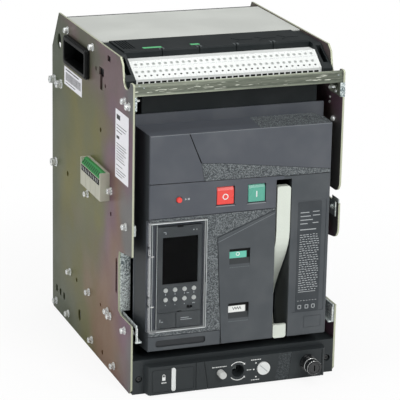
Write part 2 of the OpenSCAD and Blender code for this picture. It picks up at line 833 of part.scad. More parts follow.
// Block of the mask between its front face and the flange, cut by the handle's slot
module mask_block() {
    corner = 3;
    difference() {
        intersection() {
            along_x(-2 * mask_x, 2 * mask_x)
                polygon([[front_y + 1, mask_z], [flange_y, mask_z], [flange_y, mask_top + 3],
                    [front_y + 1, mask_top], [front_y, mask_top - 1], [front_y, mask_z + 1]]);
            linear_extrude(mask_top + 10)
                polygon([[1 - mask_x, front_y], [mask_x - 1, front_y], [mask_x, front_y + 1],
                    [mask_x - 1, 16], [mask_x - 11, flange_y], [-mask_x - mask_draft, flange_y],
                    [-mask_x, front_y + 1]]);
        }
        block([slot_left, front_y - eps, mask_z - 5], [slot_right, flange_y + eps, slot_top]);
        // Round lower corner on the right
        along_y(front_y - eps, flange_y + eps) difference() {
            area([mask_x - corner, mask_z - 1], [mask_x + 1, mask_z + corner]);
            translate([mask_x - corner, mask_z + corner]) circle(corner);
        }
    }
}

// Outlines of the front panels, drawn smaller by g along the seams between them.
// Each runs on past the mask's own edges and is cut off there
over = 12;
band_end = [handle_x, band_z - 1];

module logo_shape(g) {
    polygon([[-mask_x - over, band_z + 2 + g], [slant_x + 4 - g, band_z + 0.8 + g],
        [slant_x - g, slant_z], [logo_right - g, mask_top], [logo_right - g - 5, mask_top + over],
        [-mask_x - over, mask_top + over]]);
}

module upper_shape(g) {
    polygon([[logo_right + g - 5, mask_top + over], [logo_right + g, mask_top],
        [slant_x + g, slant_z + g], [slant_x + 24, slant_z - 1.5 + g],
        [mask_x + over, band_z + 2 + g], [mask_x + over, mask_top + over]]);
}

module button_shape(g) {
    polygon([[-mask_x - over, band_low + g], [handle_x, band_low + 1 + g],
        [handle_x, band_z - g], [-mask_x - over, band_z + 2 - g]]);
}

module indicator_shape(g) {
    polygon([[indicator_left + 8 + g, mask_z - over], [handle_x, mask_z - over],
        [handle_x, band_low + 4 - g], [indicator_left + g, band_low - 30 - g]]);
}

module lower_shape(g) {
    area([-mask_x - over, mask_z - over], [lower_right - g, lower_top - g]);
}

module label_shape(g) {
    area([handle_x, mask_z - over], [mask_x + over, band_z - 1 - g]);
}

// A front panel, kept inside the mask's outer form
module panel() {
    intersection() {
        mask_block();
        along_y(front_y - eps, front_y + panel_t) children();
    }
}

// Wells of the two push buttons, each with a sloping lower lip
module button_wells(deep) {
    for (s = [-1, 1]) {
        along_y(front_y - eps, front_y + deep)
            translate([s * well_x, button_z]) square(well_s, center = true);
        along_x(s * well_x - well_s / 2 - 1, s * well_x + well_s / 2 + 1)
            polygon([[front_y - eps, button_z - well_s / 2 - 2], [front_y + 2.5, button_z - well_s / 2],
                [front_y - eps, button_z - well_s / 2]]);
    }
}

// Shallow field with a grained face on the top, with a slanted end
module grip_field() {
    intersection() {
        along_x(0, mask_x - 1.5)
            polygon([[front_y + 1.5, mask_top - 0.4], [22, mask_top + 1.7],
                [22, mask_top + over], [front_y + 1.5, mask_top + over]]);
        linear_extrude(mask_top + over)
            polygon([[22, front_y], [30, flange_y], [mask_x, flange_y], [mask_x, front_y]]);
    }
}

// Pocket of the clear cover, deeper along its hinge, and of the trip unit
module cover_pocket() {
    pad = 1;
    far = cover_x + cover_w + pad;
    block([-mask_x - over, front_y - over, cover_z - pad], [far, cover_back + fit, cover_top + pad]);
    block([-mask_x - over, front_y, cover_z - pad], [cover_x + 6, cover_back + 3, cover_top + pad]);
    block([unit_x, front_y, unit_z], [unit_x + unit_w, unit_back, unit_z + unit_h]);
}

module front_mask() {
    color("#53575b") from_front() {
        difference() {
            mask_block();
            along_y(front_y - eps, front_y + panel_t) {
                logo_shape(0);
                upper_shape(0);
                button_shape(0);
                indicator_shape(0);
                lower_shape(0);
                label_shape(0);
            }
            cover_pocket();
            button_wells(22);
            pin_y(-reset_x, button_z, reset_r + 0.5, front_y - eps, front_y + 22);
            grip_field();
        }
        hinge_lugs();
    }
}

// Lugs and pins that hold the clear cover's knuckles
module hinge_lugs() {
    reach = knuckle_l / 2 + fit;
    for (z = hinge_z) {
        for (s = [-1, 1])
            block([hinge_x - 1.6, hinge_y - 1.6, z + (s > 0 ? reach : -reach - 3)],
                [hinge_x + 1.6, cover_back + 3 + eps, z + (s > 0 ? reach + 3 : -reach)]);
        translate([hinge_x, hinge_y, z - reach - 1]) cylinder(r = 0.9, h = 2 * reach + 2);
    }
}

// The two panels over the seam, which meet along a slanted line
module upper_panels() {
    color("#5b6064") from_front() {
        panel() logo_shape(seam / 2);
        difference() {
            panel() upper_shape(seam / 2);
            grip_field();
        }
    }
}

module button_panel() {
    color("#565b5f") from_front() difference() {
        panel() button_shape(seam);
        button_wells(22);
        pin_y(-reset_x, button_z, reset_r + 0.5, front_y - eps, front_y + 22);
    }
}

// Places of the two indicator windows
window_z = [mask_z + 42, mask_z + 115];
window_w = 28;
window_h = 24;
module indicator_panel() {
    slant = atan2(34, handle_x - indicator_left);
    color("#53575b") from_front() difference() {
        panel() indicator_shape(seam);
        // Bevel along the slanted top edge
        translate([indicator_left, front_y, band_low - 30 - seam]) rotate([0, -slant, 0])
            along_x(-5, 110) polygon([[-1, -2.8], [-1, 1], [2.8, 1]]);
        for (z = window_z) {
            // Upper half runs through, lower half is a ramp
            along_y(front_y - eps, front_y + panel_t + eps)
                area([-window_w / 2, z - 1], [window_w / 2, z + window_h / 2]);
            along_x(-window_w / 2, window_w / 2)
                polygon([[front_y - eps, z - window_h / 2 - 1], [front_y, z - window_h / 2],
                    [front_y + panel_t - 0.5, z - 1], [front_y + panel_t - 0.5, z], [front_y - eps, z]]);
        }
    }
}

// Smooth panel under the trip unit, with a shallow recess
module lower_panel() {
    color("#53575b") from_front() difference() {
        panel() lower_shape(seam);
        along_y(front_y - eps, front_y + 2.2)
            round_area([10 - mask_x, mask_z + 5], [77 - mask_x, mask_z + 14], 3);
    }
}

// Right-hand panel with a sunk field for the rating label
module label_panel() {
    color("#53575b") from_front() difference() {
        panel() label_shape(seam);
        along_y(front_y - eps, front_y + 0.8)
            round_area([slot_right + 5, mask_z + 32], [mask_x - 4, mask_z + 183], 1.5);
        // Outline of a blanked opening
        along_y(front_y - eps, front_y + 0.5) difference() {
            area([mask_x - 31, mask_z + 10], [mask_x - 7, mask_z + 26]);
            area([mask_x - 30.2, mask_z + 10.8], [mask_x - 7.8, mask_z + 25.2]);
        }
    }
}

// Flags behind the upper halves of the indicator windows
module state_flags() {
    color("#e8e9e6") from_front()
        for (z = window_z)
            block([-window_w / 2, front_y + panel_t - 1, z - 1],
                [window_w / 2 - 4, front_y + panel_t, z + 9.5]);
}

// Push button whose cap is bevelled along its upper edge
module push_button(x) {
    half = well_s / 2 - button_gap;
    along_x(x - half, x + half)
        polygon([[front_y + 0.5, button_z - half], [front_y + 15, button_z - half],
            [front_y + 15, button_z + half], [front_y + 3, button_z + half],
            [front_y + 0.5, button_z + half - 4.5]]);
}

module off_button() {
    color("#f5483f") from_front() push_button(-well_x);
}

module on_button() {
    color("#5aa893") from_front() push_button(well_x);
}

module reset_button() {
    color("#f5483f") from_front() {
        pin_y(-reset_x, button_z, reset_r, front_y - 2.2, front_y + 18);
        pin_y(-reset_x, button_z, reset_r - 0.8, front_y - 3, front_y - 2);
    }
}

// Smooth step from 0 to 1
function ease(t) = t * t * (3 - 2 * t);

// Front of the handle's arm at the share t of the way from the hub to the grip
function arm_point(t, back) = [
    handle_y - 12 + handle_dip * (1 - ease(t)) + back,
    handle_z + 20 + t * 117];

// Lever: a block at the pivot, a web behind it, an arm that dips into the slot
// and a straight grip
module charging_handle() {
    steps = 12;
    half = handle_w / 2;
    grip = handle_y - 12;
    top = handle_z + handle_l;
    color("#dde3da") from_front() difference() {
        intersection() {
            along_x(handle_x - half, handle_x + half)
                polygon(concat(
                    [[handle_y - 9, handle_z - 9], [handle_y + 34, handle_z - 9],
                        [grip + handle_dip + handle_t, handle_z]],
                    [for (i = [0 : steps]) arm_point(i / steps, handle_t)],
                    [[grip + handle_t, top], [grip, top]],
                    [for (i = [0 : steps]) arm_point(1 - i / steps, 0)],
                    [[handle_y + 33, handle_z - 4], [handle_y + 9, handle_z - 2],
                        [handle_y - 4, handle_z + 9], [handle_y - 9, handle_z + 9]]));
            along_y(-50, 80) round_area([handle_x - half, handle_z - 9], [handle_x + half, top], 3.5);
        }
        pin_x(handle_y, handle_z, handle_pin_r + 0.2, slot_left, slot_right);
    }
}

module handle_pin() {
    color("#a9b0ad") from_front() pin_x(handle_y, handle_z, handle_pin_r, slot_left, slot_right);
}

// Face of the trip unit with a seat for the display, a port and two flaps
module trip_unit() {
    color("#555859") from_front() difference() {
        block([unit_x, unit_front, unit_z], [unit_x + unit_w, unit_back, unit_z + unit_h]);
        block([display_x, unit_front - eps, display_z],
            [display_x + display_w, unit_front + 1, display_z + display_h]);
        // Test port
        along_y(unit_front - eps, unit_front + 5)
            round_area([unit_x + 40, flap_z + 4], [unit_x + 48, flap_z + 7.5], 1.2);
        // Grooves round the flaps
        block([unit_x - eps, unit_front - eps, flap_z],
            [unit_x + unit_w + eps, unit_front + 1, flap_z + seam]);
        block([unit_x + 0.43 * unit_w, unit_front - eps, unit_z - eps],
            [unit_x + 0.43 * unit_w + seam, unit_front + 1, flap_z + eps]);
        for (i = [0 : 3], row = [0, 1])
            pin_y(key_x(i), key_z - row * key_pitch, key_r + 0.3, unit_front - eps, unit_front + 1.5);
    }
}

function key_x(i) = display_x + display_w / 2 + (i - 1.5) * key_pitch;

module trip_display() {
    color("#0b0b0c") from_front()
        block([display_x, unit_front + 0.2, display_z],
            [display_x + display_w, unit_front + 1, display_z + display_h]);
}

module trip_keys() {
    color("#c9c9c9") from_front()
        for (i = [0 : 3], row = [0, 1])
            pin_y(key_x(i), key_z - row * key_pitch, key_r, unit_front - 0.8, unit_front + 1.5);
}

// Clear hinged shell over the trip unit
module trip_cover() {
    far = cover_x + cover_w;
    color("#dfe6ea", 0.4) from_front() difference() {
        union() {
            difference() {
                block([cover_x, cover_front, cover_z], [far, cover_back, cover_top]);
                block([cover_x + cover_t, cover_front + cover_t, cover_z + cover_t],
                    [far - cover_t, cover_back + eps, cover_top - cover_t]);
                // Room for the hinge lugs
                for (z = hinge_z)
                    block([cover_x - eps, hinge_y - 3, z - knuckle_l],
                        [hinge_x + 3, cover_back + eps, z + knuckle_l]);
            }
            for (z = hinge_z) {
                translate([hinge_x, hinge_y, z - knuckle_l / 2]) cylinder(r = hinge_r, h = knuckle_l);
                block([cover_x, hinge_y - 4, z - knuckle_l / 2],
                    [cover_x + cover_t, hinge_y, z + knuckle_l / 2]);
            }
            // Bead round the front and the finger lip at the free edge
            block([far - 1, cover_front, cover_z + cover_h / 2 - 12],
                [far + 0.9, cover_front + 3, cover_z + cover_h / 2 + 12]);
        }
        for (z = hinge_z)
            translate([hinge_x, hinge_y, z - knuckle_l]) cylinder(r = 1.1, h = 2 * knuckle_l);
    }
}

left_side_plate();
right_side_plate();
base_plate();
front_crossbar();
top_cover();
rear_base();
upper_terminals();
lower_terminals();
terminal_carrier();
terminal_brackets();
secondary_terminals();
left_guide_bracket();
right_guide_bracket();
left_guide_rail();
right_guide_rail();
left_grip_rim();
right_grip_rim();
position_contacts();
position_contact_plug();
racking_unit();
racking_screw();
padlock_slide();
release_button();
position_dial();
key_lock_body();
key_lock_barrel();
breaker_housing();
contact_clusters();
mask_flange();
front_mask();
upper_panels();
button_panel();
indicator_panel();
lower_panel();
label_panel();
state_flags();
off_button();
on_button();
reset_button();
charging_handle();
handle_pin();
trip_unit();
trip_display();
trip_keys();
trip_cover();
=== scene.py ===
"""Looks of a withdrawable three-pole air circuit breaker in its draw-out cradle."""

import json
import math

import bmesh
import bpy
from mathutils import Matrix, Vector


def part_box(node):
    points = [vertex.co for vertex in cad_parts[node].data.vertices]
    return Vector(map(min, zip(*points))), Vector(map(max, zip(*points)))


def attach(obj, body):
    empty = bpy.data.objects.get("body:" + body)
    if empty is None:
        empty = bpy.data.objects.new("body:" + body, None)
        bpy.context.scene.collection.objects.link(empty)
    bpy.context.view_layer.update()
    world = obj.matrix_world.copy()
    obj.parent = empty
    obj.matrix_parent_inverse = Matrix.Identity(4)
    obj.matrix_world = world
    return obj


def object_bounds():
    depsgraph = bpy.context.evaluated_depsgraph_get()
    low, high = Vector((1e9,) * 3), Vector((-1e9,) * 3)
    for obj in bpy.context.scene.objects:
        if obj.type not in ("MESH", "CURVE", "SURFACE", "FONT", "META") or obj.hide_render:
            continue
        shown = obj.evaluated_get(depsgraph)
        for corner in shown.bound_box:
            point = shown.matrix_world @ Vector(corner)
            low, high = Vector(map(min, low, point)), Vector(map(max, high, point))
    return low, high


MM = 0.001


def colour(code):
    """A colour written as on a paint card, as the linear values that a shader takes."""
    parts = [int(code[i:i + 2], 16) / 255 for i in (1, 3, 5)]
    return tuple(p / 12.92 if p <= 0.04045 else ((p + 0.055) / 1.055) ** 2.4 for p in parts) + (1,)


class Wire:
    """An output of a finish's nodes. Arithmetic on it adds Math nodes."""

    def __init__(self, finish, socket):
        self.finish = finish
        self.socket = socket

    def maths(self, operation, *values):
        return self.finish.node("ShaderNodeMath", {"operation": operation}, dict(enumerate(values)))

    def __add__(self, other):
        return self.maths("ADD", self, other)

    def __sub__(self, other):
        return self.maths("SUBTRACT", self, other)

    def __rsub__(self, other):
        return self.maths("SUBTRACT", other, self)

    def __mul__(self, other):
        return self.maths("MULTIPLY", self, other)

    def __abs__(self):
        return self.maths("ABSOLUTE", self)

    __radd__ = __add__
    __rmul__ = __mul__

    def most(self, other):
        """The greater of this and another value."""
        return self.maths("MAXIMUM", self, other)

    def ramp(self, low, high, start=0.0, end=1.0):
        """Goes smoothly from start to end as this goes from low to high."""
        return self.finish.node("ShaderNodeMapRange", {"interpolation_type": "SMOOTHSTEP"},
                                {0: self, 1: low, 2: high, 3: start, 4: end})

    def part(self, axis):
        """One of the three numbers of a vector."""
        return self.finish.node("ShaderNodeSeparateXYZ", {}, {0: self}, output=axis)


class Finish:
    """A material with one shader. What is the same all over is set on the shader's sockets."""

    def __init__(self, name, **constants):
        self.material = bpy.data.materials.new(name)
        self.material.use_nodes = True
        self.tree = self.material.node_tree
        self.tree.nodes.clear()
        self.shader = self.tree.nodes.new("ShaderNodeBsdfPrincipled")
        self.out = self.tree.nodes.new("ShaderNodeOutputMaterial")
        self.tree.links.new(self.shader.outputs[0], self.out.inputs["Surface"])
        for socket, value in constants.items():
            self.give(socket.replace("_", " "), value)

    def feed(self, socket, value):
        if isinstance(value, Wire):
            self.tree.links.new(value.socket, socket)
        else:
            socket.default_value = colour(value) if isinstance(value, str) else value

    def give(self, socket, value):
        """Feeds one of the shader's own sockets."""
        self.feed(self.shader.inputs[socket], value)
        return self

    def node(self, kind, settings, inputs, output=0):
        node = self.tree.nodes.new(kind)
        for name, value in settings.items():
            setattr(node, name, value)
        for name, value in inputs.items():
            self.feed(node.inputs[name], value)
        return Wire(self, node.outputs[output])

    def blend(self, factor, first, second, how="MIX"):
        """Mixes two colours."""
        return self.node("ShaderNodeMix", {"data_type": "RGBA", "blend_type": how},
                         {0: factor, 6: first, 7: second}, output=2)

    def place(self, stretch=(1, 1, 1)):
        """The point on the piece in metres, stretched along its axes."""
        point = self.node("ShaderNodeTexCoord", {}, {}, output=3)
        return self.node("ShaderNodeVectorMath", {"operation": "MULTIPLY"}, {0: point, 1: stretch})

    def facing(self, axis):
        """How squarely the surface faces along one of the piece's axes, from 0 to 1."""
        return abs(self.node("ShaderNodeTexCoord", {}, {}, output=1).part(axis))

    def noise(self, size, detail=3, stretch=(1, 1, 1), rough=0.5):
        """Cloudy noise from 0 to 1, whose patches are about size wide."""
        return self.node("ShaderNodeTexNoise", {},
                         {"Vector": self.place(stretch), "Scale": 1 / size, "Detail": detail,
                          "Roughness": rough})

    def cells(self, size, feature="F1", output=0):
        """Cells about size wide: the distance from their middles, or a random colour for each."""
        return self.node("ShaderNodeTexVoronoi", {"feature": feature},
                         {"Vector": self.place(), "Scale": 1 / size}, output=output)

    def bump(self, height, depth):
        """Raises the surface by height times depth."""
        return self.give("Normal", self.node("ShaderNodeBump", {}, {"Height": height, "Distance": depth,
                                                                     "Strength": 1.0}))

    def made(self, base, roughness, height=None, depth=0.0):
        """Feeds the shader and hands over the material."""
        self.give("Base Color", base).give("Roughness", roughness)
        if height is not None:
            self.bump(height, depth)
        return self.material


# ---- Finishes ----

SATIN = {"Specular_IOR_Level": 0.35}

def moulding(name, shade, roughness=0.45, grain=0.35 * MM, depth=0.02 * MM, dust=0.08, **constants):
    """Moulded plastic: a fine grain, slightly uneven gloss and a trace of dust."""
    f = Finish(name, **constants)
    patches = f.noise(40 * MM, detail=2)
    fine = f.noise(grain, detail=2)
    light = f.blend(patches.ramp(0.35, 0.75, 0.0, dust), shade, "#9a9c9c")
    return f.made(f.blend(fine.ramp(0.4, 0.8, 0.0, 0.12), light, (0, 0, 0, 1)),
                  patches.ramp(0.3, 0.7, roughness - 0.05, roughness + 0.06), fine, depth)


def pebbled(f, smooth, low, high):
    """Gives the coarse spark-eroded grain where smooth is 0 and the plain moulding where it is 1; the plain
    moulding is darker on faces turned left or right, as painted shade.
    """
    speck = f.cells(1.0 * MM, output=1).part(0)
    fine = f.noise(0.9 * MM, detail=2)
    tops = (speck * 0.75 + fine * 0.5).ramp(0.42, 0.98) * (1 - smooth)
    # Faces turned to the left or right take a darker grey: painted shade.
    plain = f.blend(f.facing(0).ramp(0.5, 0.9), SMOOTH_GREY, SIDE_SHADE_GREY)
    return f.made(f.blend(tops, f.blend(smooth, low, plain), high),
                  tops.ramp(0.0, 1.0, 0.55, 0.38), tops, 0.16 * MM)


SMOOTH_GREY = "#4d5158"
# Grey of the faces turned left or right, darker as painted shade.
SIDE_SHADE_GREY = "#33373a"


def mask_moulding(name):
    """Mask moulding: pebbled on its front and on the grip field, smooth at its sides and along its top, with
    painted shade on the faces turned left or right.
    """
    f = Finish(name, **SATIN)
    across, up = f.place().part(0), f.place().part(2)
    field = across.ramp(24 * MM, 25 * MM) * up.ramp(0.3400, 0.3405)
    covered = across.ramp(-0.0450, -0.0455) * up.ramp(0.2312, 0.2308) * up.ramp(0.0855, 0.0860)
    plain = ((1 - f.facing(1).ramp(0.9, 0.97)) * (1 - field)).most(covered)
    return pebbled(f, plain, "#3a3f42", "#7c8284")


def slanted_strip_moulding(name):
    """Black moulding of the racking unit, with a pebbled strip between the dial and the lock."""
    f = Finish(name, **SATIN)
    across = f.place().part(0) - f.place().part(2) * 0.14
    strip = across.ramp(51.0 * MM, 51.4 * MM) * across.ramp(70.0 * MM, 69.6 * MM)
    strip = strip * f.facing(1).ramp(0.9, 0.97) * f.place().part(1).ramp(-0.1898, -0.1904)
    speck = f.cells(1.0 * MM, output=1).part(0)
    fine = f.noise(0.4 * MM, detail=2)
    tops = speck.ramp(0.4, 1.0) * strip
    cloud = f.noise(60 * MM, detail=2)
    plain = f.blend(cloud.ramp(0.35, 0.7, 0.0, 0.2), "#2a2f31", "#3a4042")
    return f.made(f.blend(tops * 0.7, f.blend(fine.ramp(0.4, 0.8, 0, 0.15), plain, (0, 0, 0, 1)), "#565c5f"),
                  cloud.ramp(0.3, 0.7, 0.42, 0.52), tops + fine * 0.12, 0.14 * MM)


def passivated_zinc(name):
    """Yellow-passivated sheet: its colour drifts from olive through brown to violet-grey near the front, and
    painted shade darkens its lower part behind the front.
    """
    f = Finish(name, Specular_IOR_Level=0.4, Metallic=0.4)
    point = f.place()
    wander = f.noise(170 * MM, detail=2, rough=0.45)
    cloud = f.noise(60 * MM, detail=3, rough=0.5)
    depth = point.part(1) + 0.1775 + (wander - 0.5) * 0.34 + (cloud - 0.5) * 0.05
    height = point.part(2)
    olive = f.blend(cloud.ramp(0.35, 0.65), "#5f6030", "#73703a")
    brown = f.blend(wander.ramp(0.40, 0.60), "#7a5b40", "#6f5064")
    film_and_shade = f.blend(depth.ramp(0.19, 0.09), olive, brown)
    film_and_shade = f.blend(height.ramp(0.33, 0.40, 0.0, 0.8), film_and_shade, f.blend(cloud.ramp(0.42, 0.58), "#705c62",
                                                                     "#5f6159"))
    film_and_shade = f.blend(depth.ramp(0.05, 0.0, 0.0, 0.8), film_and_shade, "#5f6568")
    film_and_shade = f.blend(depth.ramp(0.24, 0.36, 0.0, 0.85), film_and_shade, "#4c5847")
    # Painted shade: darker towards the bottom, away from the front edge.
    film_and_shade = f.blend(height.ramp(0.20, 0.15, 0.0, 0.3) * depth.ramp(0.08, 0.2), film_and_shade, "#2c2f1e")
    fine = f.noise(1.3 * MM, detail=2)
    sheet = f.blend(fine.ramp(0.3, 0.75, 0.0, 0.06), film_and_shade, "#b4b4a2")
    cut = (1 - f.facing(0).ramp(0.5, 0.9)) * point.part(1).ramp(-0.1205, -0.1215).most(
        height.ramp(0.4280, 0.4285)).most(point.part(1).ramp(0.172, 0.173))
    return f.made(f.blend(cut, sheet, "#b9bda6"), cloud.ramp(0.3, 0.7, 0.38, 0.48), fine, 0.006 * MM)


def bright_zinc(name, shade="#9aa3a2", roughness=0.34, metallic=0.6):
    """Galvanised steel: small spangles under a faint drawn grain."""
    f = Finish(name, Metallic=metallic)
    spangle = f.cells(5 * MM, output=1).part(0)
    clouds = f.noise(18 * MM, detail=4)
    grain = f.noise(0.7 * MM, detail=2, stretch=(0.06, 0.06, 1))
    base = f.blend(spangle.ramp(0.0, 1.0, 0.0, 0.7), shade, "#e3e8e2")
    return f.made(f.blend(grain.ramp(0.35, 0.75, 0.0, 0.25), base, "#6c7472"),
                  clouds.ramp(0.3, 0.7, roughness - 0.08, roughness + 0.08) + spangle * 0.08,
                  grain, 0.01 * MM)


def crossbar_zinc(name):
    """Plated bar with long drawn streaks, darker along the middle and with painted highlights there as bright
    dashes.
    """
    f = Finish(name, Metallic=0.5)
    streak = f.noise(30 * MM, detail=4, stretch=(0.12, 1, 5), rough=0.6)
    fine = f.noise(0.9 * MM, detail=2, stretch=(0.06, 1, 1))
    band = f.place().part(2)
    dark = band.ramp(0.3925, 0.3960) * band.ramp(0.4045, 0.4005)
    dashes = f.noise(6 * MM, detail=2, stretch=(0.4, 1, 4))
    tone = f.blend(streak.ramp(0.38, 0.60), "#5f665a", "#a0a695")
    tone = f.blend(dark * streak.ramp(0.3, 0.55, 0.25, 0.75), tone, "#474d43")
    # Painted highlight: bright dashes along the middle band.
    tone = f.blend(dark * dashes.ramp(0.61, 0.68), tone, "#dfe3d4")
    return f.made(f.blend(fine.ramp(0.5, 0.8, 0.0, 0.25), tone, "#c9cdbd"),
                  streak.ramp(0.35, 0.65, 0.3, 0.42), fine, 0.008 * MM)


def spangled_zinc(name):
    """Bracket sheet with a bright, finely broken spangle, lighter towards the bottom as a painted highlight.
    """
    f = Finish(name, Metallic=0.45)
    spangle = f.cells(2.2 * MM, output=1).part(0)
    fine = f.cells(1.1 * MM, output=1).part(1)
    tone = f.blend((spangle * 0.55 + fine * 0.45).ramp(0.25, 0.8), "#6f7d80", "#dfe9e8")
    # Painted highlight: lighter towards the bottom.
    return f.made(f.blend(f.place().part(2).ramp(0.165, 0.120, 0.0, 0.35), tone, "#f0f4f2"),
                  fine.ramp(0.0, 1.0, 0.26, 0.4), spangle, 0.01 * MM)


def lower_moulding(name, shade, floor):
    """Smooth moulding whose shallow recess is darker than its face, as painted shade."""
    f = Finish(name, **SATIN)
    patches = f.noise(40 * MM, detail=2)
    # Where the recess lies; it takes the darker grey as painted shade.
    sunk = f.place().part(1).ramp(-0.1862, -0.1858)
    face = f.blend(patches.ramp(0.35, 0.75, 0.0, 0.08), shade, "#9a9c9c")
    return f.made(f.blend(sunk, face, floor),
                  patches.ramp(0.3, 0.7, 0.36, 0.46), f.noise(0.35 * MM, detail=2), 0.02 * MM)


def painted_sheet(name, shade):
    """Smooth paint with a slight orange-peel."""
    f = Finish(name)
    peel = f.noise(2.2 * MM, detail=2)
    haze = f.noise(90 * MM, detail=3)
    return f.made(f.blend(haze.ramp(0.35, 0.7, 0.0, 0.35), shade, "#cfd2cd"),
                  haze.ramp(0.3, 0.7, 0.38, 0.5), peel, 0.02 * MM)


def copper_bar(name, shade, worn):
    """Copper bar, tinned or bare, with rubbed faces."""
    f = Finish(name, Metallic=1.0)
    rub = f.noise(9 * MM, detail=5, stretch=(1, 0.25, 1))
    return f.made(f.blend(rub.ramp(0.4, 0.75), shade, worn), rub.ramp(0.3, 0.7, 0.26, 0.42), rub, 0.02 * MM)


def plated_screw(name, shade, roughness=0.28):
    """Zinc-plated fastener with patches of brighter tone and duller gloss."""
    f = Finish(name, Metallic=0.45)
    worn = f.noise(3 * MM, detail=3)
    return f.made(f.blend(worn.ramp(0.35, 0.7), shade, "#f2f3ee"),
                  worn.ramp(0.3, 0.7, roughness - 0.06, roughness + 0.08))


def clear_moulding(name):
    """Clear polycarbonate: its face hardly shows, its edges catch the light."""
    f = Finish(name, Roughness=0.1, IOR=1.45)
    scuff = f.noise(30 * MM, detail=4)
    f.give("Base Color", f.blend(scuff, "#f1f5f5", "#ffffff"))
    wall = 1 - f.facing(1).ramp(0.3, 0.9)
    see_through = f.node("ShaderNodeBsdfTransparent", {}, {"Color": (0.975, 0.98, 0.98, 1)})
    rim = f.node("ShaderNodeFresnel", {}, {"IOR": 1.45})
    mixed = f.node("ShaderNodeMixShader", {}, {0: rim.ramp(0.06, 0.5, 0.0, 0.3) + wall * 0.2,
                                               1: see_through, 2: Wire(f, f.shader.outputs[0])})
    f.feed(f.out.inputs["Surface"], mixed)
    return f.material


def display_window(name):
    """Black glass over a dark panel."""
    f = Finish(name, Specular_IOR_Level=0.06)
    haze = f.noise(25 * MM, detail=3)
    return f.made(f.blend(haze, "#040405", "#090909"), haze.ramp(0.3, 0.7, 0.16, 0.26))


def flag_paint(name):
    """The two state flags: the upper is printed green and the lower one white."""
    f = Finish(name)
    upper = f.place().part(2).ramp(0.139, 0.141)
    fine = f.noise(0.5 * MM)
    green = f.blend(fine.ramp(0.3, 0.8, 0, 0.12), "#63bda8", "#8ad3c2")
    return f.made(f.blend(upper, "#e6e8e5", green), fine.ramp(0.3, 0.7, 0.4, 0.5))


FINISH = {
    "passivated_zinc": passivated_zinc("passivated_zinc"),
    "bright_zinc": bright_zinc("bright_zinc"),
    "pale_grey_sheet": painted_sheet("pale_grey_paint", "#bdc0bb"),
    "black_moulding": moulding("black_moulding", "#10181a", roughness=0.5, dust=0.03,
                               Specular_IOR_Level=0.25),
    "dark_grey_moulding": slanted_strip_moulding("dark_grey_moulding"),
    "grey_moulding": moulding("smooth_grey_moulding", SMOOTH_GREY, roughness=0.4, **SATIN),
    "white_moulding": moulding("white_moulding", "#e1e4e2", roughness=0.42, dust=0.03),
    "off_white_moulding": moulding("off_white_moulding", "#d6ddd2", roughness=0.36, dust=0.04),
    "light_grey_moulding": moulding("light_grey_moulding", "#c6c8c5", roughness=0.4),
    "beige_moulding": moulding("beige_moulding", "#bfbfae", roughness=0.45),
    "red_moulding": moulding("red_moulding", "#e8453d", roughness=0.3, dust=0.02),
    "green_moulding": moulding("green_moulding", "#55a691", roughness=0.3, dust=0.02),
    "printed_flag": flag_paint("flag_paint"),
    "clear_moulding": clear_moulding("clear_polycarbonate"),
    "display_glass": display_window("display_window"),
    "tinned_copper": copper_bar("tinned_copper", "#b9bcbd", "#d4d6d4"),
    "bare_copper": copper_bar("bare_copper", "#a9683a", "#c98a5a"),
    "black_lacquered_metal": moulding("black_lacquer", "#101315", roughness=0.2, dust=0.02, Coat_Weight=0.5),
}
MASK_GREY = mask_moulding("mask_moulding")
CROSSBAR_ZINC = crossbar_zinc("crossbar_zinc")
SCREW = plated_screw("screw_zinc", "#d9dee0", 0.26)
# Bright chrome-like finish for painted highlights on the key lock's rims and the cover's hinge.
CHROME_HIGHLIGHT = plated_screw("painted_highlight_chrome", "#e6e8e8", 0.16)
# Pale strips that paint the highlights on the clear cover's rims.
RIM_HIGHLIGHT = moulding("clear_rim_highlight", "#e4eaea", roughness=0.15, dust=0.0, Alpha=0.85)
UNIT_GREY = moulding("trip_unit_grey", "#3f4346", roughness=0.4, **SATIN)
# Black for dark parts, and for painted shade in holes, slots and windows.
DARK = moulding("black_and_painted_shade", "#0c0d0e", roughness=0.6, dust=0.0, Specular_IOR_Level=0.15)
CLAMP = moulding("clamp_grey", "#babebc", roughness=0.4)
LOWER_GREY = moulding("lower_grey_moulding", "#454a4e", roughness=0.4, **SATIN)
# Pale grey for painted highlights on lips and edges of the mask.
LIP_HIGHLIGHT_GREY = moulding("lip_highlight_grey", "#7e8487", roughness=0.35)
# The faint one paints the highlights at the foot of the window ramps; the others are print.
PRINT_WHITE, PRINT_GREY, FAINT_HIGHLIGHT, PRINT_DARK, PRINT_INK = (
    moulding(name, shade, roughness=0.5, dust=0.0)
    for name, shade in (("white_print", "#e4e6e4"), ("grey_print", "#a9aeb0"), ("faint_highlight", "#6e7477"),
                        ("dark_print", "#3b3f41"), ("ink", "#202226")))
PAPER = moulding("label_paper", "#fafaff", roughness=0.55, dust=0.03)
PLUG_GREEN = moulding("plug_green", "#3c9a55", roughness=0.4, dust=0.03)
BRACKET_ZINC = spangled_zinc("bracket_zinc")
RIM_BLACK = moulding("grip_rim_black", "#0d0f10", roughness=0.45, dust=0.0, Specular_IOR_Level=0.2)
LABEL_FIELD = moulding("label_foil", "#363b3f", roughness=0.42, dust=0.05, Specular_IOR_Level=0.3)

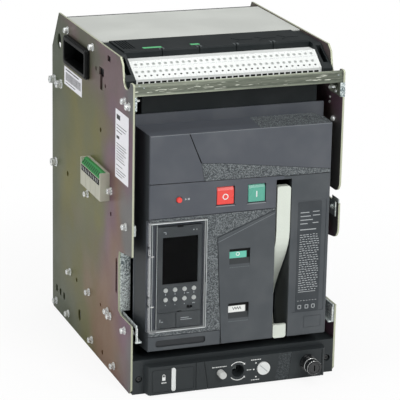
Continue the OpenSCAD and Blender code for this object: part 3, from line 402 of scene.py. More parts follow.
# The CAD material that each finish stands for, by the finish's name.
STANDS_FOR = {finish.name: slot for slot, finish in FINISH.items()}
for slot, finishes in (("bright_zinc", (SCREW, CHROME_HIGHLIGHT, BRACKET_ZINC, CLAMP)),
                       ("white_moulding", (PRINT_WHITE, PRINT_GREY, PAPER)),
                       ("black_moulding", (DARK, PRINT_DARK, PRINT_INK)),
                       ("grey_moulding", (LIP_HIGHLIGHT_GREY, FAINT_HIGHLIGHT)),
                       ("dark_grey_moulding", (LABEL_FIELD,)), ("clear_moulding", (RIM_HIGHLIGHT,))):
    STANDS_FOR.update({finish.name: slot for finish in finishes})

# ---- Frame ----

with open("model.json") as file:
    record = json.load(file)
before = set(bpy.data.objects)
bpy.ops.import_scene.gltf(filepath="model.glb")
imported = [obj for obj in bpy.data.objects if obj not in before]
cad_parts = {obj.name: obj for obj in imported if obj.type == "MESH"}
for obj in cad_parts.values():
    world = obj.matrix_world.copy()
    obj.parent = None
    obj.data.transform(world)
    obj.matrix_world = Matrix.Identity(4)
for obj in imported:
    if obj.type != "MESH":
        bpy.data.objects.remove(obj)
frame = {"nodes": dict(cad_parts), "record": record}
cad_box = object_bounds()
slot_of = {part["node"]: part["material_slot"] for part in frame["record"]["subparts"]}


def low(node):
    return Vector(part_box(node)[0])


def high(node):
    return Vector(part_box(node)[1])


def middle(node):
    return (low(node) + high(node)) / 2


FRONT = low("left_side_plate").y
# In millimetres.
SHEET = 2.5  # thickness of a side plate
PLATE_X = high("base_plate").x / MM + SHEET  # outer face of the right plate
PRINT = 0.08  # height of printing over its surface
SUNK = -0.05  # where printing, papers and rings start, just below that surface
PAPER_THICK = 0.25
FLAG_TALL = 10.5
BACK_RECESS = 27  # from the rear end of the insulating base to the face that its screws sit on
POLES = (-70, 0, 70)


def soften(piece, width, angle=35):
    """Rounds the sharp edges of a piece by a little."""
    weld = piece.modifiers.new("weld", "WELD")
    weld.merge_threshold = 0.002 * MM
    bevel = piece.modifiers.new("soft_edges", "BEVEL")
    bevel.width = width
    bevel.segments = 2
    bevel.limit_method = "ANGLE"
    bevel.angle_limit = math.radians(angle)
    bevel.harden_normals = False


EDGE = {"charging_handle": 1.2 * MM, "off_button": 0.8 * MM, "on_button": 0.8 * MM, "reset_button": 0.3 * MM,
        "left_grip_rim": 0.6 * MM, "right_grip_rim": 0.6 * MM, "racking_unit": 0.6 * MM,
        "trip_cover": 0.5 * MM, "trip_unit": 0.3 * MM, "padlock_slide": 0.4 * MM, "release_button": 0.4 * MM}
OWN_FINISH = {"front_mask": MASK_GREY, "front_crossbar": CROSSBAR_ZINC, "position_contact_plug": PLUG_GREEN,
              "trip_unit": UNIT_GREY, "indicator_panel": LOWER_GREY, "label_panel": LOWER_GREY,
              # The darker grey is painted shade in the panel's recess.
              "lower_panel": lower_moulding("lower_panel_moulding", "#454a4e", "#2b2e31"),
              "left_guide_bracket": BRACKET_ZINC, "right_guide_bracket": BRACKET_ZINC,
              "left_guide_rail": BRACKET_ZINC, "right_guide_rail": BRACKET_ZINC,
              "left_grip_rim": RIM_BLACK, "right_grip_rim": RIM_BLACK}
for node, piece in frame["nodes"].items():
    piece.data.materials.clear()
    piece.data.materials.append(OWN_FINISH.get(node, FINISH[slot_of[node]]))
    soften(piece, EDGE.get(node, 0.3 * MM))

# ---- Shapes ----


def spot(x, depth, z):
    """A point given in millimetres, its depth measured back from the side plates' front edge."""
    return Vector((x * MM, FRONT + depth * MM, z * MM))


def facing_front(point):
    """Local X to the right, Y up and Z out of a surface that faces the front."""
    return Matrix.Translation(point) @ Matrix(((1, 0, 0, 0), (0, 0, -1, 0), (0, 1, 0, 0), (0, 0, 0, 1)))


def front_of(node, x=0.0, z=0.0):
    """A place on a node's front, its x and z in metres."""
    return facing_front(Vector((x, low(node).y, z)))


def facing_side(point, side):
    """Local Y up and Z out of a surface that faces to the left (-1) or to the right (1)."""
    return Matrix.Translation(point) @ Matrix(((0, 0, side, 0), (side, 0, 0, 0), (0, 1, 0, 0), (0, 0, 0, 1)))


def left_face(above=0.0):
    """The left plate's outer face, or a place some millimetres off it."""
    return facing_side(spot(-PLATE_X - above, 0, 0), -1)


def facing_back(point):
    return Matrix.Translation(point) @ Matrix(((-1, 0, 0, 0), (0, 0, 1, 0), (0, 1, 0, 0), (0, 0, 0, 1)))


def tilted(point, degrees):
    """Local X to the right and Z up and to the front, leaning over by the angle."""
    return Matrix.Translation(point) @ Matrix.Rotation(math.radians(degrees), 4, "X")


def lathe(mesh, place, profile, turn=24, closed=False, hexed=()):
    """Turns a profile of (radius, height) in millimetres round the local Z axis."""
    rings = []
    for number, (radius, height) in enumerate(profile):
        ring = []
        for i in range(turn if radius else 1):
            angle = 2 * math.pi * i / turn
            wide = radius
            if number in hexed:
                wide *= math.cos(math.pi / 6) / math.cos(angle % (math.pi / 3) - math.pi / 6)
            point = Vector((wide * math.cos(angle), wide * math.sin(angle), height)) * MM
            ring.append(mesh.verts.new(place @ point))
        rings.append(ring)
    pairs = list(zip(rings, rings[1:])) + ([(rings[-1], rings[0])] if closed else [])
    for one, two in pairs:
        for i in range(turn):
            j = (i + 1) % turn
            corners = [one[i % len(one)], one[j % len(one)], two[j % len(two)], two[i % len(two)]]
            corners = list(dict.fromkeys(corners))
            if len(corners) > 2:
                mesh.faces.new(corners)
    if not closed:
        for ring in (rings[0], rings[-1]):
            if len(ring) > 1:
                mesh.faces.new(ring)


def box(x0, y0, x1, y1):
    """The corners of a rectangle."""
    return [(x0, y0), (x1, y0), (x1, y1), (x0, y1)]


def prism(mesh, place, outline, bottom, top):
    """Raises a flat outline in millimetres from one height to another."""
    low_ring = [mesh.verts.new(place @ (Vector((x, y, bottom)) * MM)) for x, y in outline]
    high_ring = [mesh.verts.new(place @ (Vector((x, y, top)) * MM)) for x, y in outline]
    mesh.faces.new(low_ring)
    mesh.faces.new(high_ring)
    for i in range(len(outline)):
        j = (i + 1) % len(outline)
        mesh.faces.new((low_ring[i], low_ring[j], high_ring[j], high_ring[i]))


def mark(mesh, place, x, y, wide, tall, thick=PRINT):
    """A printed bar with its lower left corner at x, y."""
    prism(mesh, place, box(x, y, x + wide, y + tall), SUNK, thick)


def flat_ring(mesh, place, inner, outer, thick, turn):
    """A printed ring between two radii."""
    lathe(mesh, place, [(inner, SUNK), (inner, thick), (outer, thick), (outer, SUNK)], turn, closed=True)


def marks(mesh, place, rows):
    """Printed bars, each given as x, y, width, height and, where it differs, thickness."""
    for row in rows:
        mark(mesh, place, *row)


def arc(mesh, place, radius, width, start, end, thick=PRINT, steps=14):
    """A printed arc between two angles in degrees."""
    angles = [math.radians(start + (end - start) * i / steps) for i in range(steps + 1)]
    wide, narrow = radius + width / 2, radius - width / 2
    outer = [(wide * math.cos(a), wide * math.sin(a)) for a in angles]
    inner = [(narrow * math.cos(a), narrow * math.sin(a)) for a in reversed(angles)]
    for i in range(steps):
        prism(mesh, place, [outer[i], outer[i + 1], inner[-2 - i], inner[-1 - i]], SUNK, thick)


def piece(shape, finish, body="cradle", slot=None, name=None):
    """Makes a piece of what the shape function draws, and lets it ride on a body.

    Unless told otherwise, it bears the function's name; the slot it works out is not used."""
    name = name or shape.__name__
    slot = slot or STANDS_FOR[finish.name]
    drawn = bmesh.new()
    shape(drawn)
    bmesh.ops.recalc_face_normals(drawn, faces=drawn.faces)
    mesh = bpy.data.meshes.new(name)
    drawn.to_mesh(mesh)
    drawn.free()
    mesh.materials.append(finish)
    mesh.shade_smooth()
    mesh.set_sharp_from_angle(angle=math.radians(35))
    made = bpy.data.objects.new(name, mesh)
    bpy.context.scene.collection.objects.link(made)
    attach(made, body)
    return made


# ---- Fasteners ----

def cap_screw(mesh, place, head=7.8, tall=5.0):
    """Socket-head screw on a wide washer."""
    r = head / 2
    lathe(mesh, place, [(2.0, 0), (r + 1.4, 0), (r + 1.4, 1.0), (r + 1.1, 1.2), (2.0, 1.2)], closed=True)
    lathe(mesh, place, [(2.2, 1.2), (r, 1.2), (r, 0.5 + tall), (r - 0.8, 1.2 + tall),
                        (0.42 * r, 1.25 + tall), (0.38 * r, tall), (0, tall - 0.2)], hexed=(4, 5))


def pan_screw(mesh, place, head=6.0, tall=2.2):
    """Cross-recessed pan-head screw."""
    r = head / 2
    lathe(mesh, place, [(r * 0.9, -0.2), (r, 0.3), (r * 0.9, tall * 0.7), (r * 0.55, tall), (0, tall * 1.06)])
    for turn in (0, 90):
        cross = place @ Matrix.Rotation(math.radians(turn), 4, "Z")
        prism(mesh, cross, box(-0.45 * r, -0.1 * r, 0.45 * r, 0.1 * r),
              tall * 0.98, tall * 1.08)


def socket_cap(mesh, place, foot, shoulder, rim, tall):
    """Low socket-head screw with a broken rim."""
    lathe(mesh, place, [(3.4, foot), (3.4, shoulder), (rim, tall), (1.7, tall), (1.6, 1.0), (0, 1.0)],
          hexed=(3, 4))


def hex_nut(mesh, place, across=7.0, tall=3.2):
    """Nut on a washer with the end of its screw."""
    r = across / 1.732
    lathe(mesh, place, box(1.6, -0.1, r + 1.3, 0.8), closed=True)
    lathe(mesh, place, [(1.6, 0.8), (r, 0.8), (r, tall + 0.5), (r - 0.6, tall + 0.8), (1.9, tall + 0.8)],
          closed=True, hexed=(1, 2))
    lathe(mesh, place, [(1.9, 0.5), (1.9, tall + 1.8), (1.4, tall + 2.3), (0, tall + 2.3)])


LEFT_ONLY = [(187, 214), (86, 247), (24, 218)]
REAR_SCREWS = [(343, 333), (311, 334), (336, 217)]
PLATE_SCREWS = [(280, 415), (167, 417), (187, 214), (86, 247), (24, 218), (268, 78), (180, 78),
                (335, 13), (276, 14), (97, 80), (86, 77), (25, 79), (166, 15), (69, 14), (31, 379), (14, 376)]


def plate_screws(side):
    def shape(mesh):
        for depth, z in PLATE_SCREWS:
            if side > 0 and (depth, z) in LEFT_ONLY:
                continue
            cap_screw(mesh, facing_side(spot(side * PLATE_X, depth, z), side))
        for depth, z in REAR_SCREWS:
            cap_screw(mesh, facing_side(spot(side * PLATE_X, depth, z), side), 10.4, 7.2)
    return shape


def right_plate_ends(mesh):
    """Screw ends on the right plate's inner face and on the crossbar's ear."""
    for depth, z, head in ((37, 377, 4.2), (17, 377, 4.6), (39, 364, 3.4), (39.5, 357, 3.4),
                           (25.5, 338, 8.0)):
        inset = 4.5 if z > 370 else 2.5
        pan_screw(mesh, facing_side(spot(PLATE_X - inset, depth, z), -1), head, head * 0.45)


piece(plate_screws(-1), SCREW, name="left_plate_screws")
piece(plate_screws(1), SCREW, name="right_plate_screws")
piece(right_plate_ends, SCREW)


# ---- Side plates ----

def rating_paper(mesh):
    prism(mesh, left_face(), [(-69, 272), (-17, 272), (-16, 273), (-16, 360), (-17, 361),
                                                        (-69, 361)], SUNK, PAPER_THICK)


def rating_rules(mesh):
    """Plain rules where a rating paper is filled in."""
    on = left_face(PAPER_THICK)
    for z, length in ((341, 40), (337, 36), (333, 22), (317, 38), (313.5, 40), (310, 31), (306.5, 38),
                      (303, 26), (299.5, 30), (296, 34), (289, 9), (289, 24),
                      (283.5, 38), (280, 33), (276.5, 24)):
        mark(mesh, on, -64, z, length, 0.8)
    mark(mesh, on, -64, 349, 14, 6)
    mark(mesh, on, -64, 324, 11, 3.5)


def bar_paper(mesh):
    prism(mesh, left_face(), box(-296, 338, -215, 363), SUNK, PAPER_THICK)


def bar_rules(mesh):
    """Evenly spaced bars of a blank bar tag, between two plain rules."""
    on = left_face(PAPER_THICK)
    for i in range(24):
        mark(mesh, on, -289 + 2.9 * i, 345, 0.9 + 0.8 * (i % 2), 11)
    mark(mesh, on, -289, 359, 60, 1.4)
    mark(mesh, on, -289, 341.4, 44, 0.9)


def hole_shades(mesh):
    """Painted shade: dark sheets behind the left plate's keyhole, slots and small holes, where the inside is
    in shadow.
    """
    on = left_face(-SHEET)
    for d0, z0, d1, z1 in ((118, 387, 141, 400), (124, 368.5, 136, 389), (91, 413, 105, 422),
                           (150, 389.5, 157, 396), (109.5, 375, 116.5, 382),
                           (128, 312, 136, 320), (313, 388, 330, 403)):
        prism(mesh, on, box(-d1, z0, -d0, z1), -0.9, -0.1)


def notch_spring_and_shade(mesh):
    """Spring strip along the slot behind the notch, seen from the side as dark teeth; its black is painted
    shade of the slot.
    """
    on = left_face()
    for i in range(9):
        up = 4.6 * i
        prism(mesh, on, [(-66.5, 119 + up), (-62, 119 + up), (-62, 122 + up), (-66.5, 122.4 + up)],
              -2.4, -1.2)


def plate_tab(mesh):
    """Square nut of the screw over the left plate's notch, seen past the plate's edge."""
    place = facing_side(spot(-(PLATE_X - SHEET), 7, 219), 1)
    prism(mesh, place, box(-6, -7, 6, 7), -0.1, 3.0)
    lathe(mesh, place, [(2.6, 2.9), (2.6, 4.2), (2.0, 4.8), (0, 4.8)])


def lobe_bracket(mesh):
    """Bright catch at the top of the right plate's lobe."""
    for low_x, top_z in ((PLATE_X - 2.2, 237), (PLATE_X - 6.5, 234)):
        prism(mesh, facing_front(spot(0, 0, 0)), [(low_x, 214), (low_x + 1.4, 214), (low_x + 1.4, top_z - 1),
                                                  (low_x + 0.4, top_z), (low_x, top_z - 1)], -22, -1.5)
    hex_nut(mesh, facing_side(spot(PLATE_X - 6.5, 10, 226), -1), 5.6, 1.6)


for shape, finish in ((rating_paper, PAPER), (rating_rules, PRINT_INK), (bar_paper, PAPER),
                      (bar_rules, PRINT_INK), (notch_spring_and_shade, DARK), (hole_shades, DARK),
                      (plate_tab, FINISH["bright_zinc"]), (lobe_bracket, FINISH["bright_zinc"])):
    piece(shape, finish)


# ---- Position contacts ----

def contact_label(mesh):
    on = facing_side(Vector((low("position_contacts").x, FRONT, 0)), -1)
    prism(mesh, on, box(-174, 252.5, -96, 260), SUNK, PAPER_THICK)


def contact_ticks(mesh):
    on = facing_side(Vector((low("position_contacts").x - 0.25 * MM, FRONT, 0)), -1)
    for i in range(10):
        mark(mesh, on, -171 + 7.4 * i, 254, 1.5, 4.6)


def plug_sockets(mesh):
    """Entries and their clamp screws on the plug's sloping face, drawn as flat marks in a darker green:
    painted shade of the holes.
    """
    edge = low("position_contact_plug")
    top = high("position_contact_plug")
    across, up = edge.x, (top.z - edge.z)
    lean = math.atan2(up, 5.6 * MM)
    for i in range(11):
        middle_of = Vector((across + 2.8 * MM, edge.y + (4.2 + 7.1 * i) * MM, edge.z + up / 2))
        place = Matrix.Translation(middle_of) @ Matrix.Rotation(-lean, 4, "Y")
        prism(mesh, place, [(-3.2, -1.5), (2.4, -1.5), (3.0, 0), (2.4, 1.5), (-3.2, 1.5)], -0.3, 0.06)


piece(contact_label, DARK)
piece(contact_ticks, PRINT_WHITE)
piece(plug_sockets, moulding("plug_shade", "#1a3a24", dust=0.0), slot="green_moulding")


# ---- Top of the cradle ----

STRIP_SLOPE = 36
WIRE_PITCH = 7.9
WIRES = 31
ROW_ONE = (60, 417)
ROW_STEP = 12.3


def slope_point(x, depth, z, along, above=0.0):
    """A point at an offset on the sloping face of the terminal strip."""
    turn = math.radians(STRIP_SLOPE)
    return spot(x, depth - along * math.cos(turn) - above * math.sin(turn),
                z - along * math.sin(turn) + above * math.cos(turn))


def on_slope(x, along=0.0, above=0.0):
    """Place on the strip's slope, along from the first row of wire entries."""
    return tilted(slope_point(x, *ROW_ONE, along, above), STRIP_SLOPE)


def wire_x(i, shift=0.0):
    return (i - (WIRES - 1) / 2) * WIRE_PITCH + shift


def terminal_clamps(mesh):
    """Spring clamp at the mouth of each wire entry."""
    for along, shift in ((0, 0.0), (ROW_STEP, -WIRE_PITCH / 4)):
        for i in range(WIRES):
            place = on_slope(wire_x(i, shift), along, -0.8)
            lathe(mesh, place, [(2.1, -3), (2.1, 0), (1.2, 0.3), (0.9, -0.5), (0, -0.5)], turn=14)


def strip_dashes(mesh):
    """Dark feet of the terminals along the strip's lower edge, and their small screws above."""
    for i in range(WIRES):
        on = facing_front(Vector((wire_x(i) * MM, low("secondary_terminals").y, 0)))
        prism(mesh, on, box(-3.1, 396, 2.9, 399.6), -0.2, 0.12)
        place = on_slope(wire_x(i), ROW_STEP + 6.4)
        prism(mesh, place, [(-1.5, -0.8), (1.1, -0.8), (1.6, 0.6), (-1.0, 0.8)], -0.2, 0.06)


def strip_seams(mesh):
    """Fine seams between the terminals and the dashes between the two rows."""
    for i in range(WIRES + 1):
        for first, last in ((-5.0, -2.9), (3.4, 6.0), (ROW_STEP + 8.6, ROW_STEP + 11.6)):
            x = wire_x(i) - WIRE_PITCH / 2
            place = on_slope(x)
            prism(mesh, place, box(-0.16, -last, 0.16, -first), -0.3, 0.04)
    for i in range(WIRES):
        place = on_slope(wire_x(i))
        prism(mesh, place, box(-2.6, -4.6, 2.0, -4.1), -0.3, 0.05)


def carrier_top():
    return Matrix.Translation(Vector((0, FRONT, high("terminal_carrier").z)))


def carrier_marks(mesh):
    """Green marks of the carrier's first two sections."""
    top = carrier_top()
    for x, depth, wide in ((-97, 93, 25), (-32, 96, 12)):
        mark(mesh, top, x, depth, wide, 7.0, 0.12)


def carrier_arrows(mesh):
    """Raised arrow outlines on the carrier's last three sections."""
    top = carrier_top()
    for start in (30, 62, 94):
        for (x0, y0), (x1, y1) in (((0, 118), (9, 108)), ((9, 108), (0, 98)), ((9, 108), (26, 108))):
            run = Vector((x1 - x0, y1 - y0))
            side = Vector((-run.y, run.x)).normalized() * 0.5
            corners = [(start + x0 + side.x, y0 + side.y), (start + x1 + side.x, y1 + side.y),
                       (start + x1 - side.x, y1 - side.y), (start + x0 - side.x, y0 - side.y)]
            prism(mesh, top, corners, -0.3, 0.35)


def carrier_lugs(mesh):
    """Small catches at the front of the carrier's seams."""
    half = high("terminal_carrier").x / MM
    edge = (low("terminal_carrier").y - FRONT) / MM
    for i in (1, 2, 3, 4):
        x = -half + half * 2 / 5 * i
        place = Matrix.Translation(spot(x, edge + 5, high("terminal_carrier").z / MM))
        prism(mesh, place, [(-3.6, -3.4), (-1.2, -3.4), (-1.2, 1.5), (-2.0, 2.4), (-3.6, 2.4)], -4, 0.7)
        prism(mesh, place, [(1.2, -3.4), (3.6, -3.4), (3.6, 2.4), (2.0, 2.4), (1.2, 1.5)], -4, 0.7)


def crossbar_screws(mesh):
    """Screws that pass through the crossbar's ends into its ears."""
    z = (low("front_crossbar").z + high("front_crossbar").z) / 2 / MM
    for x in (-1, 1):
        socket_cap(mesh, Matrix.Translation(spot(x * 131, 14, z - 6.8)), -0.1, 1.6, 2.8, 2.2)


def crossbar_tabs_and_highlights(mesh):
    """Bright plated corners where the crossbar's ears meet the plates, and three slivers of painted highlight
    on the crossbar's ends.
    """
    on = facing_front(spot(0, 1, 0))
    prism(mesh, on, box(-138.4, 373, -135.6, 390.4), -0.1, 0.25)
    prism(mesh, on, [(134.6, 374.4), (136.4, 372.8), (141.0, 372.8), (141.0, 391.5), (134.6, 391.5)],
          0.0, 1.6)
    # Three slivers of painted highlight.
    for x, z in ((-134, 404.6), (-128, 402), (131, 401)):
        prism(mesh, on, [(x, z), (x + 2.2, z - 0.5), (x + 2.2, z + 0.6), (x, z + 0.9)], -0.1, 0.15)


for shape, finish in ((terminal_clamps, CLAMP), (strip_seams, PRINT_GREY), (strip_dashes, DARK)):
    piece(shape, finish)
piece(carrier_marks, moulding("mark_green", "#59b57a", dust=0.02), slot="green_moulding")
piece(carrier_arrows, FINISH["black_moulding"])
piece(carrier_lugs, moulding("lug_grey", "#4a5052"), slot="black_moulding")
piece(crossbar_screws, SCREW)
piece(crossbar_tabs_and_highlights, BRACKET_ZINC)


# ---- Racking unit ----

def sill(x, z, out=0.0):
    return facing_front(Vector((x * MM, low("padlock_slide").y + (1 - out) * MM, z * MM)))


def padlock_sign(mesh):
    """Padlock sign and a short rule under it, beside the padlock bar."""
    on = sill(-101, 25)
    mark(mesh, on, -2.2, -4.4, 4.4, 4.6)
    for x in (-1.9, 1.2):
        mark(mesh, on, x, 0.2, 0.7, 2.0)
    arc(mesh, on @ Matrix.Translation((0, 2.2 * MM, 0)), 1.55, 0.7, 0, 180)
    for x in (-3.0, -0.6, 1.8):
        mark(mesh, on, x, -8.2, 1.6, 1.6)


def crank_arrows(mesh):
    """Curved arrows over and under the crank socket."""
    x, z = middle("racking_screw").x / MM, middle("racking_screw").z / MM
    on = sill(x, z)
    for first, last in ((140, 48), (220, 312)):
        arc(mesh, on, 12.4, 1.0, first, last)
        tip = math.radians(last - (9 if last < 90 else -9))
        base = math.radians(last)
        centre = Vector((math.cos(base), math.sin(base))) * 12.4
        point = Vector((math.cos(tip), math.sin(tip))) * 12.4
        out = centre.normalized() * 1.7
        prism(mesh, on, [tuple(point), tuple(centre + out), tuple(centre - out)], SUNK, PRINT)


def dial_dots(mesh):
    for x, z in ((24.6, 30.2), (21.8, 21.5), (25, 11.2)):
        lathe(mesh, sill(x, z), [(1.0, -0.05), (1.0, 0.1), (0, 0.1)], turn=14)


def dash_row(mesh, place, lengths):
    """A row of short printed dashes that starts at the place."""
    x = 0
    for length in lengths:
        mark(mesh, place, x, 0, length, 1.1)
        x += length + 0.7


def sill_dashes(mesh):
    """Rows of plain dashes over the release button and round the dial."""
    dash_row(mesh, sill(-35.6, 29.8), (2.2, 1.4, 2.4, 1.2, 2.0, 1.6, 2.4, 1.4))
    dash_row(mesh, sill(17.8, 34.2), (1.8, 1.4, 2.2, 1.2, 2.0, 1.4))
    dash_row(mesh, sill(12.1, 21.2), (1.8, 1.2, 1.6))
    dash_row(mesh, sill(18.5, 6.6), (1.6, 2.0, 1.2, 1.8, 1.6))


def dial_slot(mesh):
    """Coin slot across the dial's face."""
    at = middle("position_dial")
    place = front_of("position_dial", at.x, at.z) @ Matrix.Rotation(math.radians(-42), 4, "Z")
    prism(mesh, place, box(-6.6, -0.5, 6.6, 0.5), -0.2, 0.06)


def lock_head(inset=0.0):
    """Place on the key lock's head, or some millimetres behind it."""
    lock = middle("key_lock_body")
    return facing_front(Vector((lock.x, low("key_lock_body").y + inset * MM, lock.z)))


def lock_rim_highlights(mesh):
    """Painted highlights: bright bands on the rims of the key lock's head and of its collar."""
    lathe(mesh, lock_head(1.4), [(9.7, -0.45), (9.95, -0.3), (9.95, 0.3), (9.7, 0.45)], turn=40, closed=True)
    lathe(mesh, lock_head(11.2), [(9.6, -0.6), (10.0, -0.4), (10.0, 0.4), (9.6, 0.6)], turn=40, closed=True)


def lock_face(mesh):
    """Domed ring round the lock's mouth."""
    lathe(mesh, lock_head(), [(7.1, -1.0), (8.4, -0.4), (8.5, 0.0), (7.9, 0.12), (7.1, -0.3)], turn=40,
          closed=True)


def wing_screws(mesh):
    for x in (-1, 1):
        place = facing_front(spot(x * 129.5, 4.6, 20))
        socket_cap(mesh, place, -0.3, 1.9, 2.9, 2.4)


def crank_socket_liner(mesh):
    """Steel liner at the bottom of the crank socket."""
    centre = middle("racking_screw")
    place = facing_front(Vector((centre.x, low("racking_screw").y + 1.5 * MM, centre.z)))
    lathe(mesh, place, [(6.2, -1.5), (8.4, -1.5), (8.4, 0.2), (7.6, 0.9), (6.2, 0.9)], turn=32, closed=True)


for shape, finish in ((padlock_sign, PRINT_WHITE), (crank_arrows, PRINT_WHITE), (dial_dots, PRINT_WHITE),
                      (sill_dashes, PRINT_WHITE)):
    piece(shape, finish)
piece(dial_slot, PRINT_GREY, "dial")
for shape, finish in ((lock_rim_highlights, CHROME_HIGHLIGHT), (lock_face, FINISH["black_lacquered_metal"]),
                      (wing_screws, FINISH["black_lacquered_metal"]),
                      (crank_socket_liner, FINISH["black_lacquered_metal"])):
    piece(shape, finish)


# ---- Rails and back ----

def rail_pins(side, name):
    """Riveted pins along the inner side of a draw-out rail."""
    def shape(mesh):
        rail = low(name) if side < 0 else high(name)
        z = (low(name).z + high(name).z) / 2 / MM
        inner = (rail.x - side * 2 * MM)
        for depth in (8, 150, 262):
            lathe(mesh, facing_side(Vector((inner, FRONT + depth * MM, z * MM)), -side),
                  [(3.1, -0.1), (3.1, 0.4), (2.6, 0.7), (0, 0.75)])
    return shape


def rail_nose(side, name):
    """Bright stop tab at the front end of a draw-out rail."""
    def shape(mesh):
        shelf = low(name).z / MM
        outer = (low(name).x if side < 0 else high(name).x) / MM
        on = front_of(name)
        first, last = sorted((outer, outer - side * 2.7))
        prism(mesh, on, [(first, shelf + 1.8), (last, shelf + 1.8), (last, shelf + 20),
                         (last - 0.8, shelf + 21), (first + 0.8, shelf + 21), (first, shelf + 20)], -16, 0)
        lathe(mesh, facing_side(Vector((outer * MM, low(name).y + 8 * MM, (shelf + 12) * MM)), side),
              [(3.0, -0.1), (3.0, 1.2), (2.4, 1.7), (0, 1.7)])
    return shape


def rear_base_screws(mesh):
    """Screws that hold the insulating base, seen from the back."""
    back = high("rear_base").y - BACK_RECESS * MM
    for x in (-128, 128):
        for z in (40, 130, 250, 370, 412):
            pan_screw(mesh, facing_back(Vector((x * MM, back, z * MM))), 8, 3)


def pole_marks(mesh):
    """Raised numbers of strokes beside the poles: one, two and three."""
    back = high("rear_base").y - BACK_RECESS * MM
    for number, x in enumerate(POLES, 1):
        place = facing_back(Vector((x * MM, back, 225 * MM)))
        for i in range(number):
            mark(mesh, place, -1 + 5 * (i - (number - 1) / 2), -6, 2, 12, 0.6)


piece(rail_pins(-1, "left_guide_rail"), SCREW, "left_rail", name="left_rail_pins")
piece(rail_pins(1, "right_guide_rail"), SCREW, "right_rail", name="right_rail_pins")
piece(rail_nose(-1, "left_guide_rail"), SCREW, "left_rail", name="left_rail_nose")
piece(rail_nose(1, "right_guide_rail"), SCREW, "right_rail", name="right_rail_nose")
piece(rear_base_screws, SCREW)
piece(pole_marks, FINISH["black_moulding"])


# ---- Breaker front ----

def button_face(node):
    """Place on a push button's flat face."""
    at = middle(node)
    return front_of(node, at.x, at.z - 1.4 * MM)


def off_ring(mesh):
    flat_ring(mesh, button_face("off_button"), 2.7, 3.9, 0.12, 36)


def on_bar(mesh):
    mark(mesh, button_face("on_button"), -0.7, -3.9, 1.4, 7.8, 0.12)


def mask_front(x, z, depth=None):
    y = low("label_panel").y if depth is None else FRONT + depth * MM
    return facing_front(Vector((x * MM, y, z * MM)))


def button_lip_highlights(mesh):
    """Painted highlights on the sloping lips under the two push buttons."""
    for node in ("off_button", "on_button"):
        left, right = low(node).x / MM - 1.6, high(node).x / MM + 1.6
        on = facing_front(Vector((0, low("label_panel").y, low(node).z)))
        prism(mesh, on, [(left, -2.6), (right, -2.6), (right - 0.8, -1.4), (left + 0.8, -1.4)], -1.2, 0.12)


def reset_mark(mesh):
    """Small arrow beside the reset button."""
    at = middle("reset_button") / MM
    on = mask_front(at.x, at.z)
    prism(mesh, on, [(8, -1.4), (10.6, 0), (8, 1.4)], SUNK, PRINT)
    mark(mesh, on, 11.6, -1.2, 2.6, 2.4)


def reset_collar(mesh):
    at = middle("reset_button")
    place = front_of("label_panel", at.x, at.z)
    lathe(mesh, place, [(3.95, -1.2), (4.9, -1.2), (4.9, 0.25), (4.3, 0.45), (3.95, 0.2)], turn=32,
          closed=True)


FIELD = (78.5, 111, 92.5, 241)


def label_field(mesh):
    """Foil in the sunk field of the right-hand panel."""
    x0, x1, z0, z1 = FIELD
    on = mask_front(0, 0, -9.2)
    prism(mesh, on, [(x0, z0 + 1), (x0 + 1, z0), (x1 - 1, z0), (x1, z0 + 1), (x1, z1 - 1), (x1 - 1, z1),
                     (x0 + 1, z1), (x0, z1 - 1)], -0.05, 0.3)


def field_rules(mesh):
    """Plain rules of an empty rating field."""
    on = mask_front(0, 0, -9.5)
    for z, first, second in ((226, 12, 9), (221, 14, 10), (216, 17, 0.1), (211, 10, 8)):
        marks(mesh, on, ((82, z, first, 1.1), (99, z + 0.6, second, 1.0)))
    mark(mesh, on, 82, 203, 22, 1.2)
    for row in range(25):
        x = 82
        while x < 107:
            length = min(1.8 + (row * 5 + int(x) * 3) % 4 * 0.8, 109 - x)
            mark(mesh, on, x, 196 - 3.1 * row + 0.5 * (int(x) % 2), length, 0.9)
            x += length + (1.0 if (row + int(x)) % 3 else 1.9)
    mark(mesh, on, 82, 119, 24, 0.7)
    for i in range(7):
        mark(mesh, on, 81 + 4.1 * i, 107, 2.4, 0.5)


def field_signs(mesh):
    """Three blank squares at the foot of the rating field."""
    on = mask_front(0, 0, -9.5)
    for x in (82, 92, 101):
        for first, second in (((0, 0), (5, 1)), ((0, 4.6), (5, 1)), ((0, 0), (1, 5.6)), ((4, 0), (1, 5.6))):
            mark(mesh, on, x + first[0], 96 + first[1], second[0], second[1])


def green_flag_ring(mesh):
    """Ring on the green flag."""
    flags = high("state_flags")
    on = front_of("state_flags", -2 * MM, flags.z - 5.2 * MM)
    flat_ring(mesh, on, 1.7, 2.6, 0.1, 24)


def white_flag_spring(mesh):
    """Spring sign on the white flag."""
    on = facing_front(Vector((-2 * MM, low("state_flags").y, low("state_flags").z + 5.2 * MM)))
    for i in range(7):
        up = 1.8 if i % 2 else -1.8
        x = -6 + 1.7 * i
        prism(mesh, on, [(x, -up), (x + 0.8, -up), (x + 2.5, up), (x + 1.7, up)], -0.05, 0.1)


def window_shades(mesh):
    """Painted shade in the two indicator windows: dark strips over the heads of the flags and to their right.
    """
    flags = high("state_flags").x / MM
    for top in (high("state_flags").z / MM, low("state_flags").z / MM + FLAG_TALL):
        on = front_of("state_flags")
        foot, inset = top - FLAG_TALL, flags + 0.1
        prism(mesh, on, [(inset, foot), (flags + 3.9, foot), (flags + 3.9, top + 2.3), (-13.9, top + 2.3),
                         (-13.9, top - 1.6), (inset, top - 1.6)], -0.2, 0.3)


